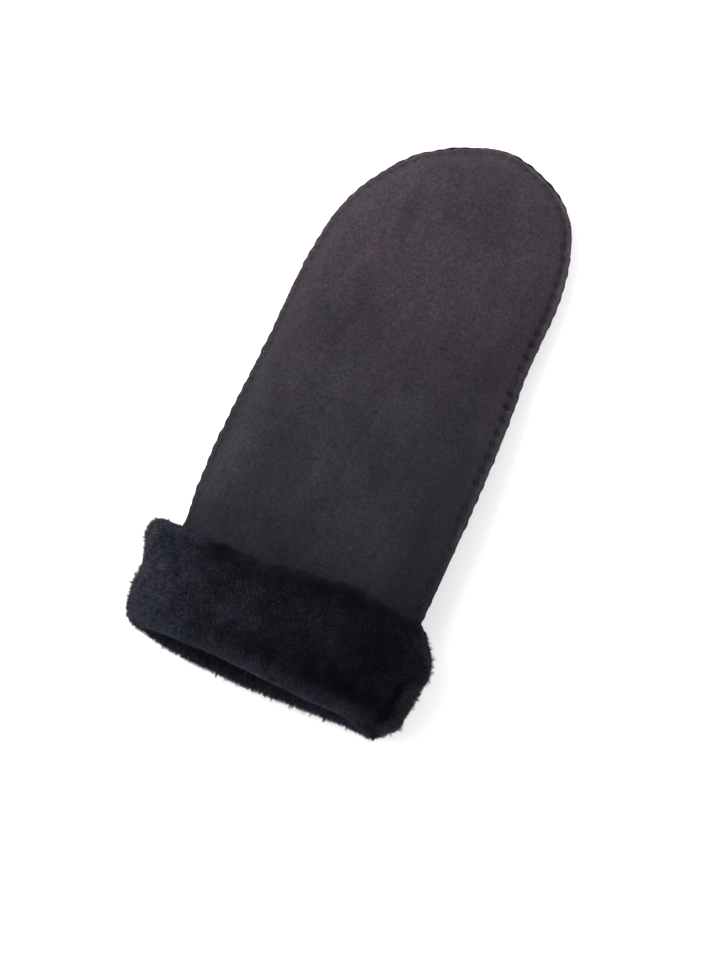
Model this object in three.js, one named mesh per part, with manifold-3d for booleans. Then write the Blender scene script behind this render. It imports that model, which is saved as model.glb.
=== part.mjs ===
import * as THREE from "three";
import { mergeVertices } from "three/addons/utils/BufferGeometryUtils.js";
import Module from "manifold-3d";

// A left-hand shearling mitten lying palm down, its wool cuff turned up, in millimetres.
// Along runs from the cuff's fold to the fingertips (+Y), across from the little finger to the thumb (+X).

const wasm = await Module();
wasm.setup();
const { clamp, degToRad, lerp } = THREE.MathUtils;

const FOLD_ALONG = 0.6;
const TIP_ALONG = 301;
const ORIGIN_ALONG = 150;
const GAP = 0.3;
const SKIN = 1.6;
const FLANGE = 3.2;
const LINING_PILE = 6;
const LINING_SPLIT_ALONG = 152;
const LEAST_HOLLOW = 0.6;
const PILLOW_ROUND = 3;
const PILLOW_SHOULDER = 0.8;
const BACK = 1;
const PALM = -1;
const WELD = 1e-3;
const TINY = 1e-6;

// The turned-up cuff: a ring of folded skin with deep pile outside and pressed pile inside.
const CUFF_MID_HEIGHT = 27.5;
const CUFF_TOP_ALONG = 59.5;
const CUFF_SLANT = 0.035;
const CUFF_SKIN_RISE = 16.4;
const CUFF_SKIN_LEFT = 63.9;
const CUFF_SKIN_RIGHT = 65.5;
const CUFF_SHOULDER = 36;
const SHOULDER_GROWTH = 0.2;
const INNER_SQUEEZE = 1.5;
const CUFF_PILE = 11.1;
const CUFF_INNER_PILE = 8.3;
const CUFF_CROWN_ALONG = 30;
const PILE_PAST_SKIN = 1;
const TOP_ROUND = 7.5;
const FOLD_SLANT_ROOM = 2.4;
const SHOULDER_STEPS = 6;
const FLAT_STEPS = 3;
const HAIRPIN_ALONG = 12.5;
const HAIRPIN_INNER_RADIUS = 0.3;
const BODY_BASE_ALONG = 16;
const PALM_FOLD_SHIFT = -1.5;

// How far the pile stands out at each side of the cuff.
const cuffReach = [
  { along: 4, left: 68, right: 72 },
  { along: 18, left: 69.5, right: 74.5 },
  { along: 30, left: 71, right: 75.5 },
  { along: 44, left: 74, right: 75.3 },
  { along: 52, left: 76, right: 74 },
  { along: 62, left: 73.5, right: 71 },
];

// The seam's outer edge in plan, from the wrist to the fingertips.
const littleFingerEdge = [
  { across: -62, along: BODY_BASE_ALONG },
  { across: -63, along: 82 },
  { across: -62.4, along: 150 },
  { across: -62, along: 212 },
  { across: -57.8, along: 240 },
  { across: -49, along: 260 },
  { across: -33, along: 281 },
  { across: -16.5, along: 292 },
  { across: 9, along: TIP_ALONG },
];
const thumbSideEdge = [
  { across: 62.6, along: BODY_BASE_ALONG },
  { across: 64.8, along: 72 },
  { across: 65, along: 125 },
  { across: 64, along: 166 },
  { across: 62, along: 192 },
  { across: 61.5, along: 240 },
  { across: 57.3, along: 262 },
  { across: 49.3, along: 280 },
  { across: 37, along: 292 },
  { across: 9, along: TIP_ALONG },
];

// Heights above the table of the hand's seam, back and palm.
const handHeights = [
  { along: 14, seam: 27.5, back: 43.3, palm: 11.7 },
  { along: 40, seam: 27.5, back: 43.3, palm: 12.2 },
  { along: 58, seam: 28, back: 43.4, palm: 15.6 },
  { along: 70, seam: 29.5, back: 45.2, palm: 18.8 },
  { along: 84, seam: 30, back: 46.6, palm: 19.5 },
  { along: 110, seam: 30, back: 47, palm: 19.5 },
  { along: 135, seam: 27.5, back: 45.6, palm: 19.3 },
  { along: 155, seam: 24, back: 42.6, palm: 13.2 },
  { along: 180, seam: 20, back: 38.6, palm: 5 },
  { along: 207, seam: 16.6, back: 34.4, palm: 0.9 },
  { along: 235, seam: 14.2, back: 30.4, palm: 0.1 },
  { along: 262, seam: 12.4, back: 27.4, palm: 0.6 },
  { along: 302, seam: 10.4, back: 24, palm: 2 },
];

// The thumb, a flat leaf lying under the palm.
const THUMB_BASE_ALONG = 64;
const THUMB_TIP_ALONG = 155;
const thumbInnerEdge = [
  { across: 35, along: THUMB_BASE_ALONG },
  { across: 21, along: 67 },
  { across: 12.5, along: 81 },
  { across: 1.5, along: 104 },
  { across: -0.5, along: 117 },
  { across: 2.5, along: 131 },
  { across: 13, along: 147 },
  { across: 31, along: THUMB_TIP_ALONG },
];
const thumbOuterEdge = [
  { across: 35, along: THUMB_BASE_ALONG },
  { across: 50, along: 67 },
  { across: 56.2, along: 84 },
  { across: 57.2, along: 97 },
  { across: 54.5, along: 111 },
  { across: 48.5, along: 127 },
  { across: 42.5, along: 144 },
  { across: 31, along: THUMB_TIP_ALONG },
];
const thumbHeights = [
  { along: THUMB_BASE_ALONG, seam: 10.2, back: 18.6, palm: 1.2 },
  { along: 80, seam: 9.6, back: 18.9, palm: 0.5 },
  { along: 120, seam: 9.6, back: 18.9, palm: 0.5 },
  { along: THUMB_TIP_ALONG, seam: 8.4, back: 17.4, palm: 1 },
];
const THUMB_FLANGE = 3.4;
const THUMB_CREASE_FLANGE = 0.8;
const THUMB_LINING_PILE = 3;
const THUMB_SPINE_FROM = 86;
const THUMB_SPINE_TO = 132;
const THUMB_CREASE_END = 118;
const THUMB_SEAM_START = 146;
const THUMB_OUTER_SEAM_START = 74;
const THROAT = { across: 31.5, along: 90, halfAcross: 13.5, halfAlong: 17 };

// A smooth reading of one column of a table at any place along the mitten.
function readColumn(table, column, along) {
  const last = table.length - 1;
  const place = clamp(along, table[0].along, table[last].along);
  let row = 0;
  while (row < last - 1 && table[row + 1].along < place) row += 1;
  const slopeAt = (index) => {
    const before = table[Math.max(index - 1, 0)];
    const after = table[Math.min(index + 1, last)];
    return (after[column] - before[column]) / (after.along - before.along);
  };
  const from = table[row];
  const to = table[row + 1];
  const span = to.along - from.along;
  const t = (place - from.along) / span;
  const rise = to[column] - from[column];
  const startBend = slopeAt(row) * span - rise;
  const endBend = rise - slopeAt(row + 1) * span;
  return lerp(from[column], to[column], t) + t * (1 - t) * lerp(startBend, endBend, t);
}

// A closed, outward-facing geometry from loose triangles.
function closedGeometry(positions) {
  const loose = new THREE.BufferGeometry();
  loose.setAttribute("position", new THREE.Float32BufferAttribute(positions, 3));
  const merged = mergeVertices(loose, WELD);
  const source = merged.index.array;
  const at = (index) => new THREE.Vector3().fromBufferAttribute(merged.attributes.position, index);
  const kept = [];
  let volume = 0;
  for (let i = 0; i < source.length; i += 3) {
    const [a, b, c] = [source[i], source[i + 1], source[i + 2]];
    if (a === b || b === c || c === a) continue;
    kept.push(a, b, c);
    volume += at(a).dot(at(b).cross(at(c)));
  }
  if (volume < 0) kept.reverse();
  merged.setIndex(kept);
  return merged;
}

function pushQuad(positions, a, b, c, d) {
  for (const corner of [a, b, c, a, c, d]) positions.push(...corner.toArray());
}

// A pouch's plan: rows join its two edges through a spine that stops short of each rounded end.
function makePlan({ leftEdge, rightEdge, rows, spineAlong, flangeAt, inward, reach, heights, bothEndsRound }) {
  const outline = [...leftEdge, ...rightEdge.slice(bothEndsRound ? 1 : 0, -1).reverse()];
  const curve = new THREE.CatmullRomCurve3(
    outline.map((point) => new THREE.Vector3(point.across, point.along, 0)),
    bothEndsRound,
  );
  const around = curve.getSpacedPoints(2 * rows).map((point) => new THREE.Vector2(point.x, point.y));
  const left = around.slice(0, rows + 1);
  const right = around.slice(rows).reverse();
  const spine = left.map((point, row) => {
    const middle = point.clone().add(right[row]).multiplyScalar(0.5);
    return new THREE.Vector2(middle.x, spineAlong(middle.y));
  });
  return { left, right, spine, rows, flangeAt, inward, reach, heights, bothEndsRound };
}

// A place in the plan, with its distance in from the seam's outer edge.
function planPlace(plan, row, column) {
  const half = plan.inward.length;
  const onLeft = column <= half;
  const step = onLeft ? column : 2 * half - column;
  const edge = (onLeft ? plan.left : plan.right)[row];
  const spine = plan.spine[row];
  const length = edge.distanceTo(spine);
  const flange = plan.flangeAt(edge, onLeft);
  const inside = step === half ? length : Math.min(flange * Math.min(step, 1) + plan.inward[step], length);
  const place = edge.clone().lerp(spine, inside / length);
  return { across: place.x, along: place.y, past: inside - flange, onFlange: step < 2 };
}

// How far a panel has risen from its seam, from 0 at the stitches to 1 on its flat middle.
function pillow(ratio) {
  const rest = 1 - clamp(ratio, 0, 1);
  return Math.pow(1 - Math.pow(rest, PILLOW_ROUND), PILLOW_SHOULDER);
}

function skinRise(plan, side, along) {
  const seam = readColumn(plan.heights, "seam", along);
  const face = readColumn(plan.heights, side === BACK ? "back" : "palm", along);
  return Math.abs(face - seam) - SKIN - GAP / 2;
}

// A point on the outer face of one panel.
function panelPoint(plan, side, row, column) {
  const { across, along, past } = planPlace(plan, row, column);
  const rise = skinRise(plan, side, along) * pillow(past / plan.reach);
  const seam = readColumn(plan.heights, "seam", along);
  return new THREE.Vector3(across, along, seam + side * (GAP / 2 + SKIN + rise));
}

// The panel's outward direction there; past a rounded end the rows run on down the other half.
function panelNormal(plan, side, row, column) {
  if (planPlace(plan, row, column).onFlange) return new THREE.Vector3(0, 0, side);
  const lastColumn = 2 * plan.inward.length;
  const reach = (wanted) => {
    if (wanted > plan.rows) return panelPoint(plan, side, 2 * plan.rows - wanted, lastColumn - column);
    if (wanted < 0 && plan.bothEndsRound) return panelPoint(plan, side, -wanted, lastColumn - column);
    return panelPoint(plan, side, Math.max(wanted, 0), column);
  };
  const alongRow = panelPoint(plan, side, row, column + 1).sub(panelPoint(plan, side, row, column - 1));
  const acrossRows = reach(row + 1).sub(reach(row - 1));
  const normal = alongRow.cross(acrossRows);
  if (normal.lengthSq() < TINY) return new THREE.Vector3(0, 0, side);
  return normal.multiplyScalar(Math.sign(normal.z) * side).normalize();
}

// A grid of points, pushed inwards from the outer face by a depth.
function insetGrid(plan, side, depth, firstColumn) {
  const lastColumn = 2 * plan.inward.length - firstColumn;
  const grid = [];
  for (let row = 0; row <= plan.rows; row += 1) {
    const line = [];
    for (let column = firstColumn; column <= lastColumn; column += 1) {
      const normal = panelNormal(plan, side, row, column);
      line.push(panelPoint(plan, side, row, column).addScaledVector(normal, -depth));
    }
    grid.push(line);
  }
  return grid;
}

// The face of the pile towards the hand: flat round the rim, then an arch over the hollow.
function hollowGrid(plan, side, pile, rim, firstColumn) {
  const lastColumn = 2 * plan.inward.length - firstColumn;
  const grid = [];
  for (let row = 0; row <= plan.rows; row += 1) {
    const line = [];
    for (let column = firstColumn; column <= lastColumn; column += 1) {
      const { across, along, past } = planPlace(plan, row, column);
      const ratio = clamp((past - rim) / (plan.reach - rim), 0, 1);
      const arch = Math.sqrt(1 - (1 - ratio) * (1 - ratio));
      const room = Math.max(skinRise(plan, side, along) - GAP - pile, LEAST_HOLLOW);
      const seam = readColumn(plan.heights, "seam", along);
      line.push(new THREE.Vector3(across, along, seam + side * (GAP / 2 + room * arch)));
    }
    grid.push(line);
  }
  return grid;
}

// A closed layer between two grids of the same size.
function layerGeometry(plan, outer, inner) {
  const positions = [];
  const last = outer[0].length - 1;
  for (let row = 0; row < plan.rows; row += 1) {
    for (let column = 0; column < last; column += 1) {
      const corners = [[row, column], [row, column + 1], [row + 1, column + 1], [row + 1, column]];
      pushQuad(positions, ...corners.map(([i, j]) => outer[i][j]));
      pushQuad(positions, ...corners.reverse().map(([i, j]) => inner[i][j]));
    }
    pushQuad(positions, outer[row][0], outer[row + 1][0], inner[row + 1][0], inner[row][0]);
    pushQuad(positions, outer[row + 1][last], outer[row][last], inner[row][last], inner[row + 1][last]);
  }
  if (!plan.bothEndsRound) {
    for (let column = 0; column < last; column += 1) {
      pushQuad(positions, outer[0][column + 1], outer[0][column], inner[0][column], inner[0][column + 1]);
    }
  }
  return closedGeometry(positions);
}

function panelGeometry(plan, side) {
  return layerGeometry(plan, insetGrid(plan, side, 0, 0), insetGrid(plan, side, SKIN, 0));
}

function liningGeometry(plan, side, pile, rim) {
  const firstColumn = 3;
  const outer = insetGrid(plan, side, SKIN + GAP, firstColumn);
  return layerGeometry(plan, outer, hollowGrid(plan, side, pile, rim, firstColumn));
}

// The hand's plan for one half; its wrist edge follows the cuff's slant.
function handPlan(side) {
  const shift = side === PALM ? (PALM_FOLD_SHIFT * (CUFF_TOP_ALONG - BODY_BASE_ALONG)) / CUFF_TOP_ALONG : 0;
  const slanted = (edge) =>
    edge.map((point, index) =>
      index === 0 ? { ...point, along: point.along + shift + CUFF_SLANT * point.across } : point,
    );
  const bend = 200;
  const spineEnd = 255;
  return makePlan({
    leftEdge: slanted(littleFingerEdge),
    rightEdge: slanted(thumbSideEdge),
    rows: 22,
    spineAlong: (along) =>
      along < bend ? along : lerp(bend, spineEnd, (along - bend) / (TIP_ALONG - bend)),
    flangeAt: () => FLANGE,
    inward: [0, 0, 1.2, 3.6, 7.6, 14, 24],
    reach: 39,
    heights: handHeights,
    bothEndsRound: false,
  });
}

const thumbPlan = makePlan({
  leftEdge: thumbInnerEdge,
  rightEdge: thumbOuterEdge,
  rows: 14,
  spineAlong: (along) => {
    const share = (along - THUMB_BASE_ALONG) / (THUMB_TIP_ALONG - THUMB_BASE_ALONG);
    return lerp(THUMB_SPINE_FROM, THUMB_SPINE_TO, share);
  },
  flangeAt: (edge, onInnerSide) => {
    const sewn = onInnerSide
      ? THREE.MathUtils.smoothstep(edge.y, THUMB_CREASE_END, THUMB_SEAM_START)
      : THREE.MathUtils.smoothstep(edge.y, THUMB_BASE_ALONG, THUMB_OUTER_SEAM_START);
    return lerp(THUMB_CREASE_FLANGE, THUMB_FLANGE, sewn);
  },
  inward: [0, 0, 1.2, 3.4, 7, 12.5],
  reach: 18,
  heights: thumbHeights,
  bothEndsRound: true,
});

// A point of the cuff's ring, out millimetres from its folded skin's inner face.
function ringPoint(side, along, out, turn) {
  const share = Math.max(out, 0) / CUFF_PILE;
  const inwards = INNER_SQUEEZE * Math.min(out, 0);
  const halfWidth = {
    left: lerp(CUFF_SKIN_LEFT, readColumn(cuffReach, "left", along), share) + inwards,
    right: lerp(CUFF_SKIN_RIGHT, readColumn(cuffReach, "right", along), share) + inwards,
  };
  const onRight = turn.angle <= Math.PI / 2;
  const shoulder = CUFF_SHOULDER + SHOULDER_GROWTH * out;
  const reach = (name) => halfWidth[name] - shoulder * (1 - Math.abs(Math.cos(turn.angle)));
  const across = turn.flat === null
    ? (onRight ? reach("right") : -reach("left"))
    : lerp(halfWidth.right - shoulder, shoulder - halfWidth.left, turn.flat);
  const rise = (CUFF_SKIN_RISE + out - GAP / 2) * Math.sin(turn.angle);
  const shift = side === PALM ? (PALM_FOLD_SHIFT * (CUFF_TOP_ALONG - along)) / CUFF_TOP_ALONG : 0;
  const slanted = along + shift + CUFF_SLANT * across;
  return new THREE.Vector3(across, slanted, CUFF_MID_HEIGHT + side * (GAP / 2 + rise));
}

// The turns of half a ring: round one shoulder, across the flat and round the other.
function halfRingTurns(shoulderSteps, flatSteps) {
  const turns = [];
  for (let i = 0; i <= shoulderSteps; i += 1) {
    turns.push({ angle: degToRad((90 * i) / shoulderSteps), flat: null });
  }
  for (let i = 1; i < flatSteps; i += 1) turns.push({ angle: Math.PI / 2, flat: i / flatSteps });
  for (let i = 0; i <= shoulderSteps; i += 1) {
    turns.push({ angle: degToRad(90 + (90 * i) / shoulderSteps), flat: i === 0 ? 1 : null });
  }
  return turns;
}

// Half a ring with one closed profile of along and out values.
function halfRingGeometry(side, profile) {
  const turns = halfRingTurns(SHOULDER_STEPS, FLAT_STEPS);
  const slices = turns.map((turn) =>
    profile.map((point) => ringPoint(side, point.along, point.out, turn)),
  );
  const positions = [];
  for (let i = 0; i + 1 < slices.length; i += 1) {
    for (let j = 0; j < profile.length; j += 1) {
      const next = (j + 1) % profile.length;
      pushQuad(positions, slices[i][j], slices[i][next], slices[i + 1][next], slices[i + 1][j]);
    }
  }
  const outline = profile.map((point) => new THREE.Vector2(point.along, point.out));
  const last = slices.length - 1;
  for (const [a, b, c] of THREE.ShapeUtils.triangulateShape(outline, [])) {
    for (const corner of [slices[0][c], slices[0][b], slices[0][a]]) positions.push(...corner.toArray());
    for (const corner of [slices[last][a], slices[last][b], slices[last][c]]) {
      positions.push(...corner.toArray());
    }
  }
  return closedGeometry(positions);
}

// Points round part of an ellipse in the cuff's profile, 90 degrees being straight out.
function profileArc(along, out, halfAlong, halfOut, fromDegrees, toDegrees, steps) {
  const points = [];
  for (let i = 0; i <= steps; i += 1) {
    const angle = degToRad(lerp(fromDegrees, toDegrees, i / steps));
    points.push({ along: along + halfAlong * Math.cos(angle), out: out + halfOut * Math.sin(angle) });
  }
  return points;
}

// The hairpin's bends share one centre, so the skin keeps its thickness round the fold.
const hairpinOut = -HAIRPIN_INNER_RADIUS;
const hairpinOuterRadius = HAIRPIN_INNER_RADIUS + SKIN;
const bodyEnd = BODY_BASE_ALONG - GAP;

const cuffSkinProfile = [
  { along: CUFF_TOP_ALONG, out: SKIN },
  ...profileArc(HAIRPIN_ALONG, hairpinOut, hairpinOuterRadius, hairpinOuterRadius, 90, 270, 4),
  { along: bodyEnd, out: hairpinOut - hairpinOuterRadius },
  { along: bodyEnd, out: hairpinOut - HAIRPIN_INNER_RADIUS },
  ...profileArc(HAIRPIN_ALONG, hairpinOut, HAIRPIN_INNER_RADIUS, HAIRPIN_INNER_RADIUS, 270, 90, 2),
  { along: CUFF_TOP_ALONG, out: 0 },
];

// The cuff's pile rounds over at its top edge and down the fold, as far as the fold's foremost line.
const pileRoot = SKIN + GAP;
const pileHairpin = hairpinOuterRadius + GAP;
const pileTop = CUFF_TOP_ALONG + PILE_PAST_SKIN - TOP_ROUND;
const foldRound = HAIRPIN_ALONG - FOLD_ALONG - FOLD_SLANT_ROOM;
const foremostOut = hairpinOut + GAP / 2;
const rearmostOut = hairpinOut - GAP / 2;
const cuffFleeceProfile = [
  ...profileArc(pileTop, pileRoot, TOP_ROUND, CUFF_PILE - pileRoot, 0, 90, 3),
  { along: CUFF_CROWN_ALONG, out: CUFF_PILE },
  ...profileArc(HAIRPIN_ALONG, foremostOut, foldRound, CUFF_PILE - foremostOut, 90, 180, 5),
  ...profileArc(HAIRPIN_ALONG, foremostOut, pileHairpin, pileHairpin, 180, 90, 2),
];

// The mouth's pile goes on from there, round into the wrist.
const mouthFleeceProfile = [
  ...profileArc(HAIRPIN_ALONG, rearmostOut, foldRound, CUFF_INNER_PILE + rearmostOut, 180, 270, 4),
  { along: bodyEnd, out: -CUFF_INNER_PILE },
  { along: bodyEnd, out: rearmostOut - pileHairpin },
  ...profileArc(HAIRPIN_ALONG, rearmostOut, pileHairpin, pileHairpin, 270, 180, 2),
];

// Cuts the thumb's throat, an upright oval, through a layer.
function cutThroat(geometry) {
  const oval = new THREE.Shape();
  oval.absellipse(THROAT.across, THROAT.along, THROAT.halfAcross, THROAT.halfAlong, 0, 2 * Math.PI);
  const depth = 2 * CUFF_MID_HEIGHT;
  const prism = new THREE.ExtrudeGeometry(oval, { depth, bevelEnabled: false, curveSegments: 14 });
  return asGeometry(asSolid(geometry).subtract(asSolid(prism)));
}

// The two parts of a layer on either side of a line across the hand.
function splitLining(geometry) {
  const solid = asSolid(geometry);
  return {
    hand: asGeometry(solid.trimByPlane([0, -1, 0], GAP / 2 - LINING_SPLIT_ALONG)),
    fingers: asGeometry(solid.trimByPlane([0, 1, 0], GAP / 2 + LINING_SPLIT_ALONG)),
  };
}

function asSolid(geometry) {
  const bare = geometry.clone();
  bare.deleteAttribute("normal");
  bare.deleteAttribute("uv");
  const merged = mergeVertices(bare, WELD);
  return new wasm.Manifold(new wasm.Mesh({
    numProp: 3,
    vertProperties: merged.attributes.position.array,
    triVerts: merged.index.array,
  }));
}

function asGeometry(solid) {
  const mesh = solid.getMesh();
  const geometry = new THREE.BufferGeometry();
  geometry.setAttribute("position", new THREE.BufferAttribute(mesh.vertProperties, 3));
  geometry.setIndex(new THREE.BufferAttribute(mesh.triVerts, 1));
  return geometry;
}

const suede = new THREE.MeshStandardMaterial({ color: 0x3a343a, roughness: 0.95, metalness: 0 });
const wool = new THREE.MeshStandardMaterial({ color: 0x1b1b22, roughness: 1, metalness: 0 });

const mitten = new THREE.Group();
mitten.position.y = -ORIGIN_ALONG;

function addPiece(name, geometry, material) {
  geometry.computeVertexNormals();
  const piece = new THREE.Mesh(geometry, material);
  piece.name = name;
  mitten.add(piece);
}

// The two hand panels, sewn edge to edge, and the pile inside them.
const handRim = 9;
const backPlan = handPlan(BACK);
const palmPlan = handPlan(PALM);
addPiece("back_panel", panelGeometry(backPlan, BACK), suede);
addPiece("palm_panel", cutThroat(panelGeometry(palmPlan, PALM)), suede);
const backLining = splitLining(liningGeometry(backPlan, BACK, LINING_PILE, handRim));
const palmLining = splitLining(liningGeometry(palmPlan, PALM, LINING_PILE, handRim));
addPiece("back_lining_hand", backLining.hand, wool);
addPiece("back_lining_fingers", backLining.fingers, wool);
addPiece("palm_lining_hand", cutThroat(palmLining.hand), wool);
addPiece("palm_lining_fingers", palmLining.fingers, wool);

// The thumb, open through its throat into the hand.
const thumbRim = 4;
addPiece("thumb_outer_panel", panelGeometry(thumbPlan, PALM), suede);
addPiece("thumb_palm_panel", cutThroat(panelGeometry(thumbPlan, BACK)), suede);
addPiece("thumb_outer_lining", liningGeometry(thumbPlan, PALM, THUMB_LINING_PILE, thumbRim), wool);
addPiece("thumb_palm_lining", cutThroat(liningGeometry(thumbPlan, BACK, THUMB_LINING_PILE, thumbRim)), wool);

// The cuff's folded skin, its pile and the mouth's pile, back and palm halves.
for (const [name, side] of [["back", BACK], ["palm", PALM]]) {
  addPiece(`cuff_${name}_skin`, halfRingGeometry(side, cuffSkinProfile), suede);
  addPiece(`cuff_${name}_fleece`, halfRingGeometry(side, cuffFleeceProfile), wool);
  addPiece(`mouth_${name}_fleece`, halfRingGeometry(side, mouthFleeceProfile), wool);
}

export default mitten;
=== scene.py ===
import itertools
import math

import bpy
import numpy as np
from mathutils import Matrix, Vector
from mathutils.kdtree import KDTree


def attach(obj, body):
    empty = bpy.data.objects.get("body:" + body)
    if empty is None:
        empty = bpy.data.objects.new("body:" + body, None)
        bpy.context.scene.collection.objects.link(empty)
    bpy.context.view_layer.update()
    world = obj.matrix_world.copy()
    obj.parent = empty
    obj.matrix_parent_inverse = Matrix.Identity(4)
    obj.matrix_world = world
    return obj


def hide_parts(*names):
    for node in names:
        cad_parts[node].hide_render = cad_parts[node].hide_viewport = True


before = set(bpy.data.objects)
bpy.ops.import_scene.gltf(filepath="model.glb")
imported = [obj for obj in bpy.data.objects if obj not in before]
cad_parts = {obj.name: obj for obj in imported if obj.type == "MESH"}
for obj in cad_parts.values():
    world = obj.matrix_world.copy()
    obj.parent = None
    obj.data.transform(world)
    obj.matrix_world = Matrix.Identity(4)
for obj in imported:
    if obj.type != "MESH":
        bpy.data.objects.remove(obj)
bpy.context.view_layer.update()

bpy.ops.object.select_all(action="DESELECT")

# All tables and shapes are in millimetres, along from the cuff's fold and across from the middle.
MM = 0.001
ORIGIN_ALONG = 150
TIP_ALONG = 299.8
BACK, PALM = 1, -1
WELD = 0.002
CURVE_STEPS = 60

# The skins and their pile.
GAP = 0.3
SKIN = 1.6
FLANGE = 3.2
LITTLE_FINGER_FLANGE = 2.4
THUMB_SIDE_FLANGE = 3.9
LINING_PILE = 6
LINING_CLEARANCE = 1
STITCH_PITCH = 7
SKIN_FLOOR = 0.05

# The cuff.
CUFF_MID_HEIGHT = 27.5
CUFF_TOP_ALONG = 59.5
SKIN_TOP_ALONG = 56.5
CUFF_SLANT = 0.035
CUFF_SKIN_RISE = 16.4
CUFF_SKIN_LEFT = 63.9
CUFF_SKIN_RIGHT = 65.5
CUFF_SHOULDER = 36
SHOULDER_GROWTH = 0.2
INNER_SQUEEZE = 1.5
CUFF_PILE = 11.1
CUFF_INNER_PILE = 8.3
CUFF_CROWN_ALONG = 30
PILE_PAST_SKIN = 1
TOP_ROUND = 7.5
FOLD_ROUND = 9.5
HAIRPIN_ALONG = 12.5
HAIRPIN_INNER_RADIUS = 0.3
HAIRPIN_OUT = -HAIRPIN_INNER_RADIUS
HAIRPIN_RADIUS = HAIRPIN_INNER_RADIUS + SKIN
BODY_BASE_ALONG = 16
BODY_END = BODY_BASE_ALONG - GAP
PILE_ROOT = SKIN + GAP
PILE_HAIRPIN = HAIRPIN_RADIUS + GAP
PALM_FOLD_SHIFT = -1.5
COAT_STEP = 1.15
TUFT_STAND = 1.6
PILE_FLOOR = 0.9

# along, left, right
CUFF_REACH = [
    (4, 68, 72), (18, 69.5, 74.5), (30, 71, 75.5), (44, 74, 75.3), (52, 76, 74), (62, 73.5, 71),
]
# along, push of the pile on the little finger's side, on the thumb's side
CUFF_ENDS = [
    (2, -0.8, -1.4), (8, 0.4, -0.6), (14, 1.6, 1.6), (24, 1.0, 1.2), (30, 0.2, 1.5), (36, -0.5, 1.9),
    (42, -1.1, 2.8), (48, -1.5, 3.6), (54, 0.3, 1.6), (62, 0.8, -0.8),
]
# across, shift of the cuff's top edge, of its fold on the back, of its fold on the palm
CUFF_EDGE_SHIFTS = [
    (-76, -0.6, 3.4, 3.8), (-60, -2.4, 3.4, 3.4), (-50, -3.4, 3.5, 2.0), (-39, -3.9, 3.5, 0.2),
    (-22, -3.7, 3.2, -1.2), (-2, -1.5, 2.0, -2.0), (13, -0.8, 0.5, -2.0), (30, -0.5, -0.8, -2.0),
    (48, -1.1, -1.2, -2.0), (58, -1.8, -3.4, -3.2), (64, -3.2, -4.8, -4.2), (69, -6.8, -5.2, -4.6),
    (76, -9, -5.4, -4.8),
]

# The hand's plan: across, along.
LITTLE_FINGER_EDGE = [
    (-61, BODY_BASE_ALONG), (-61, 62), (-62.9, 84), (-62.4, 150), (-62, 212), (-57.8, 240),
    (-49, 260), (-33, 281), (-16.5, 291.6), (8, TIP_ALONG),
]
THUMB_SIDE_EDGE = [
    (62.6, BODY_BASE_ALONG), (64.8, 72), (65, 125), (64, 166), (62, 192), (61.5, 240),
    (57.6, 262), (49.6, 280.1), (36.2, 291.5), (8, TIP_ALONG),
]
HAND_SPINE_BEND = 200
HAND_SPINE_END = 255
HAND_REACH = 39
# along, seam, back, palm
HAND_HEIGHTS = [
    (14, 27.5, 43.3, 11.7), (40, 27.5, 43.3, 12.2), (58, 28, 43.4, 15.6), (70, 29.5, 45.2, 18.8),
    (84, 30, 46.6, 19.5), (110, 30, 47, 19.5), (135, 27.5, 45.6, 19.3), (155, 24, 42.6, 13.2),
    (180, 20, 38.6, 5), (207, 16.6, 34.4, 0.9), (235, 14.2, 30.4, 0.1), (262, 12.4, 27.4, 0.6),
    (302, 10.4, 24, 2),
]

# The thumb's plan: across, along.
THUMB_BASE_ALONG = 64
THUMB_TIP_ALONG = 155
THUMB_INNER_EDGE = [
    (35, THUMB_BASE_ALONG), (21, 67), (12.5, 81), (1.5, 104), (-0.5, 117), (2.5, 131), (13, 147),
    (31, THUMB_TIP_ALONG),
]
THUMB_OUTER_EDGE = [
    (35, THUMB_BASE_ALONG), (50, 67), (56.2, 84), (57.2, 97), (54.5, 111), (48.5, 127),
    (42.5, 144), (31, THUMB_TIP_ALONG),
]
THUMB_SPINE_START = 86
THUMB_SPINE_LENGTH = 46
THUMB_REACH = 18
# along, seam, palm side, outer side
THUMB_HEIGHTS = [
    (THUMB_BASE_ALONG, 10.2, 18.6, 1.2), (80, 9.6, 18.9, 0.5), (120, 9.6, 18.9, 0.5),
    (THUMB_TIP_ALONG, 8.4, 17.4, 1),
]
THUMB_TOP_HEIGHT = 19.1
THUMB_FLANGE = 3.4
THUMB_CREASE_FLANGE = 0.8
THUMB_LINING_PILE = 3

# How far in from its edge each point of a panel lies: shares of the flange, millimetres past the
# seam, and shares of the way from there to the spine.
SEAM_STEPS = [0, 0.12, 0.3, 0.5, 0.7, 0.87, 1]
RIM_STEPS = [0.3, 0.7, 1.2, 1.8, 2.6, 3.6, 4.8, 6.2, 8, 10]
INNER_SHARES = [0.07, 0.15, 0.23, 0.32, 0.41, 0.5, 0.6, 0.7, 0.8, 0.9, 1]
LINING_RIM_STEPS = [1.2, 3.6, 7.6, 14]
LINING_INNER_SHARES = [0.25, 0.5, 0.75, 1]
LINING_CLUMPS = ((5, 0, 0.5),)
LEAST_ROOM = 0.6


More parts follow.
